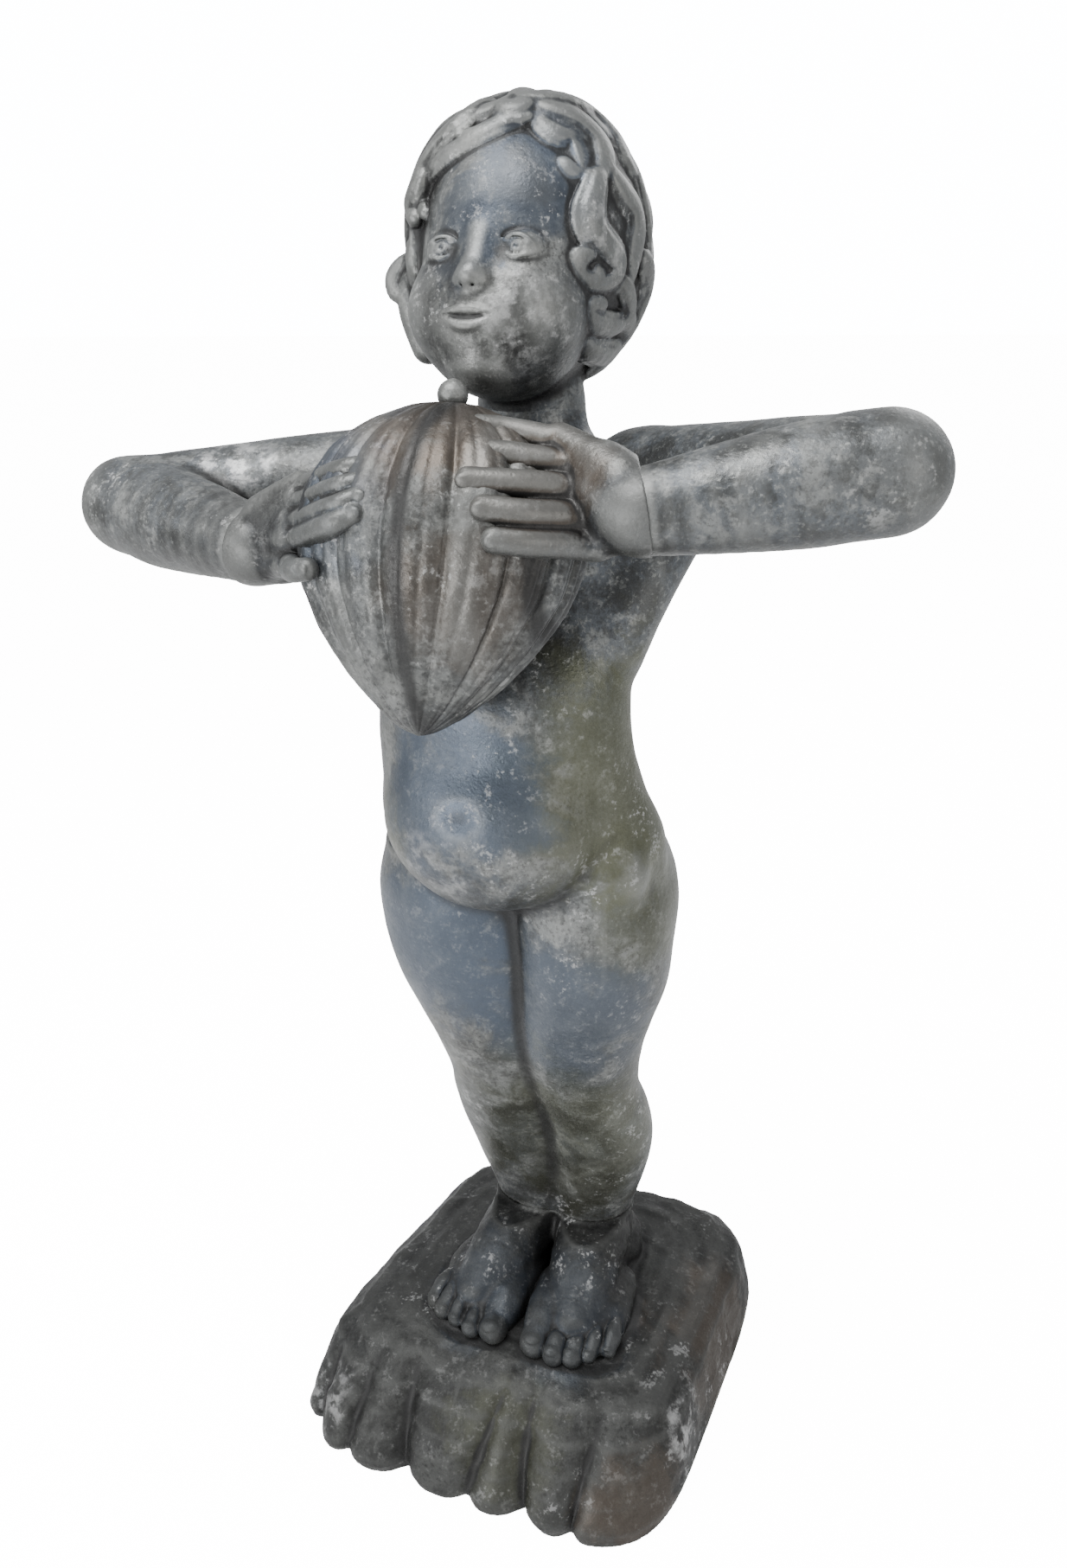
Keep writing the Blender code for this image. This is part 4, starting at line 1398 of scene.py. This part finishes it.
def outward_faces(thing):
    """Turns the faces of a closed skin outwards."""
    shape = bmesh.new()
    shape.from_mesh(thing.data)
    bmesh.ops.recalc_face_normals(shape, faces=shape.faces)
    if shape.calc_volume(signed=True) < 0:
        bmesh.ops.reverse_faces(shape, faces=shape.faces)
    shape.to_mesh(thing.data)
    shape.free()
    thing.data.update()


# Operators


class STATUE_OT_figure(bpy.types.Operator):
    """Model the trunk, limbs, head and hair"""

    bl_idname = "statue.figure"
    bl_label = "Child figure"

    def execute(self, context):
        statue = context.scene.statue
        parts = [model_body(statue.body_step), model_head(statue.head_step)]
        figure = joined("cast_figure", parts)
        roughen(figure, ((38, 0.5, 1), (13, 0.22, 2)))
        dress(figure, "child_figure", lead_finish("figure lead", 1.0, FIGURE_STAINS))
        return {"FINISHED"}


class STATUE_OT_hands(bpy.types.Operator):
    """Model both hands on the gourd"""

    bl_idname = "statue.hands"
    bl_label = "Hands"

    def execute(self, context):
        hands = model_hands(context.scene.statue.hand_step, context.scene.statue_gourd)
        roughen(hands, ((12, 0.2, 3),))
        dress(hands, "hands_with_gourd", lead_finish("hand lead", 0.72, HANDS_STAINS))
        return {"FINISHED"}


class STATUE_OT_gourd(bpy.types.Operator):
    """Make the ribbed gourd"""

    bl_idname = "statue.gourd"
    bl_label = "Gourd"

    def execute(self, context):
        gourd = context.scene.statue_gourd
        shares = (0, 0.01, 0.04, 0.1, 0.2, 0.35, 0.5, 0.65, 0.8, 0.9, 0.955, 0.975, 0.985, 1)
        radii = [(share, gourd_radius(share)) for share in shares]
        tree = turned_tree("ribbed gourd", radii, [(0, 1), (1, 0)])
        finish = lead_finish("gourd lead", 0.80, GOURD_STAINS, chalk_share=0.7, blue_share=0.25)
        values = {
            "Width": gourd.width,
            "Depth": gourd.depth,
            "Height": gourd.length,
            "Ribs": float(gourd.lobes),
            "Rib depth": 0.085,
            "Rib sharpness": 0.5,
            "Rib wander": 0.07,
            "Line depth": 0.02,
            "Unevenness": 2.6 * MM,
            "Around": 321,
            "Along": 200,
            "Finish": finish,
        }
        top = Vector(GOURD_TOP) + Vector((0, 0, SOLE))
        place = Matrix.Translation(top * MM) @ Matrix.Rotation(-GOURD_LEAN, 4, "X")
        place = place @ Matrix.Translation((0, 0, -gourd.length))
        ribbed = turned_form("ribbed_gourd", tree, values, place)
        dress(ribbed, "hands_with_gourd", finish)
        return {"FINISHED"}


class STATUE_OT_jet(bpy.types.Operator):
    """Make the water jet in the top of the gourd"""

    bl_idname = "statue.jet"
    bl_label = "Water jet"

    def execute(self, context):
        jet = context.scene.statue_jet
        height = jet.stem_length + jet.ball
        low = jet.stem_length / height
        stem = jet.stem / jet.ball
        bore = jet.bore / jet.ball
        ball_share = jet.ball / height
        radii = [(0, 0), (0.04, stem), (0.22, stem)]
        rises = [(0, 0), (0.04, 0), (0.22, low * 0.98)]
        for step in range(1, 8):
            angle = math.radians(-50 + step * 17)
            radii.append((0.22 + 0.07 * step, math.cos(angle)))
            rises.append((0.22 + 0.07 * step, low + ball_share * (0.5 + 0.5 * math.sin(angle))))
        radii += [(0.80, bore * 1.15), (0.83, bore), (0.96, bore), (1, 0)]
        inner = 1 - jet.bore_depth / height
        rises += [(0.80, 1.0), (0.83, 0.985), (0.96, inner), (1, inner)]
        tree = turned_tree("turned jet", radii, rises)
        finish = lead_finish("jet metal", 1.15, (), chalk_share=0.8, blue_share=0.1)
        values = {
            "Width": jet.ball,
            "Depth": jet.ball,
            "Height": height,
            "Ribs": 0.0,
            "Rib depth": 0.0,
            "Rib sharpness": 1.0,
            "Unevenness": 0.25 * MM,
            "Around": 65,
            "Along": 120,
            "Finish": finish,
        }
        seat = Vector(GOURD_TOP) + Vector((0, 0, SOLE - JET_SINK))
        place = Matrix.Translation(seat * MM - Vector((0, 0, jet.stem_length)))
        turned = turned_form("jet_ball", tree, values, place)
        dress(turned, "water_jet", finish)
        return {"FINISHED"}


class STATUE_OT_rock(bpy.types.Operator):
    """Model the rock and both feet"""

    bl_idname = "statue.rock"
    bl_label = "Rock and feet"

    def execute(self, context):
        rock = model_rock(context.scene.statue.rock_step)
        roughen(rock, ((42, 2.6, 5), (18, 1.7, 6), (7, 0.7, 7)), keep_flat=2.0)
        finish = lead_finish("rock lead", 0.26, ROCK_STAINS, chalk_share=0.45, blue_share=0.1, roughness=0.6)
        dress(rock, "rock_with_feet", finish)
        return {"FINISHED"}


# Soft lights: place, aim, size in metres, power in watts and tint
BODY_MIDDLE = (0, -0.02, 0.55)
LIGHTS = {
    "overhead softbox": ((-0.3, -0.7, 2.6), BODY_MIDDLE, 1.2, 68, (1, 1, 1)),
    "left softbox": ((-1.8, -1.6, 1.5), BODY_MIDDLE, 1.0, 20, (1, 1, 1)),
    "front softbox": ((-0.9, -2.6, 0.75), (0, -0.1, 0.5), 0.8, 48, (1, 1, 1)),
    "right softbox": ((2.0, -1.2, 1.2), BODY_MIDDLE, 1.2, 14, (1.0, 0.97, 0.93)),
    "back softbox": ((0.6, 2.2, 1.8), BODY_MIDDLE, 1.2, 18, (1, 1, 1)),
}

# How bright the floor and the world look to the camera alone, and the world's light on the statue
FLOOR_SHINE = 14.0
WORLD_SHINE = 16.0
WORLD_LIGHT = 0.8
FLOOR_REACH = 12.0


def make_floor():
    """A pale floor, which is stage and no part of the statue."""
    mesh = bpy.data.meshes.new("pale_floor")
    corners = [(x * FLOOR_REACH, y * FLOOR_REACH, 0) for x, y in ((-1, -1), (1, -1), (1, 1), (-1, 1))]
    mesh.from_pydata(corners, [], [(0, 1, 2, 3)])
    paint = Paint("pale floor")
    seen = paint.node("ShaderNodeLightPath").outputs["Is Camera Ray"]
    tone = paint.mix(paint.noise(3, 3), (0.88, 0.88, 0.88), (0.90, 0.90, 0.90))
    paint.coat({"Base Color": tone, "Roughness": 0.85, "Emission Color": (1, 1, 1, 1)})
    paint.coat({"Emission Strength": paint.times(seen, FLOOR_SHINE)})
    mesh.materials.append(paint.material)
    floor = placed("pale_floor", mesh)


def make_world():
    """A soft world that looks white to the camera."""
    world = bpy.data.worlds.new("soft studio")
    world.use_nodes = True
    nodes = Nodes(world.node_tree)
    seen = nodes.node("ShaderNodeLightPath").outputs["Is Camera Ray"]
    bright = nodes.node("ShaderNodeMapRange", {"Value": seen, "To Min": WORLD_LIGHT, "To Max": WORLD_SHINE})
    background = world.node_tree.nodes["Background"].inputs
    nodes.feed(background["Color"], (0.96, 0.98, 1.0, 1))
    nodes.feed(background["Strength"], bright.outputs["Result"])
    bpy.context.scene.world = world


def make_light(name, place, aim, size, power, tint):
    """A square soft light that looks at a point."""
    lamp = bpy.data.lights.new(name, "AREA")
    lamp.size = size
    lamp.energy = power
    lamp.color = tint
    holder = placed(name, lamp)
    holder.location = place
    holder.rotation_euler = (Vector(aim) - Vector(place)).to_track_quat("-Z", "Y").to_euler()


def make_camera(stage):
    """The camera, turned, pitched and rolled as the settings say."""
    lens = bpy.data.cameras.new("photo camera")
    lens.sensor_fit = "VERTICAL"
    lens.sensor_height = 24
    lens.lens = stage.focal_share * lens.sensor_height
    lens.clip_start = 0.02
    camera = placed("photo camera", lens)
    turn, pitch, roll = stage.turn, stage.pitch, stage.roll
    ahead = Vector((-math.sin(turn) * math.cos(pitch), math.cos(turn) * math.cos(pitch), -math.sin(pitch)))
    right = Vector((math.cos(turn), math.sin(turn), 0))
    down = ahead.cross(right)
    rolled_right = right * math.cos(roll) + down * math.sin(roll)
    rolled_down = -right * math.sin(roll) + down * math.cos(roll)
    axes = Matrix((rolled_right, -rolled_down, -ahead)).transposed().to_4x4()
    camera.matrix_world = Matrix.Translation(stage.place) @ axes
    bpy.context.scene.camera = camera


class STATUE_OT_stage(bpy.types.Operator):
    """Set the pale floor, the soft lights and the camera"""

    bl_idname = "statue.stage"
    bl_label = "Stage"

    def execute(self, context):
        make_floor()
        make_world()
        for name, values in LIGHTS.items():
            make_light(name, *values)
        make_camera(context.scene.statue_stage)
        return {"FINISHED"}


class STATUE_PT_panel(bpy.types.Panel):
    """The statue's parts and sizes"""

    bl_idname = "STATUE_PT_panel"
    bl_label = "Fountain statue"
    bl_space_type = "VIEW_3D"
    bl_region_type = "UI"
    bl_category = "Statue"

    def draw(self, context):
        for operator in OPERATORS:
            self.layout.operator(operator.bl_idname)
        for name in SETTINGS:
            box = self.layout.box()
            settings = getattr(context.scene, name)
            for label in settings.__annotations__:
                box.prop(settings, label)


OPERATORS = (STATUE_OT_stage, STATUE_OT_figure, STATUE_OT_hands, STATUE_OT_gourd, STATUE_OT_jet, STATUE_OT_rock)
SETTINGS = {
    "statue": StatueSettings,
    "statue_gourd": GourdSettings,
    "statue_jet": JetSettings,
    "statue_finish": FinishSettings,
    "statue_stage": StageSettings,
}


def register():
    for group in (*SETTINGS.values(), *OPERATORS, STATUE_PT_panel):
        bpy.utils.register_class(group)
    for name, group in SETTINGS.items():
        setattr(bpy.types.Scene, name, PointerProperty(type=group))


def unregister():
    for name in SETTINGS:
        delattr(bpy.types.Scene, name)
    for group in reversed((*SETTINGS.values(), *OPERATORS, STATUE_PT_panel)):
        bpy.utils.unregister_class(group)


def main():
    register()
    bpy.ops.statue.stage()
    bpy.ops.statue.figure()
    bpy.ops.statue.hands()
    bpy.ops.statue.gourd()
    bpy.ops.statue.jet()
    bpy.ops.statue.rock()


if __name__ == "__main__":
    main()
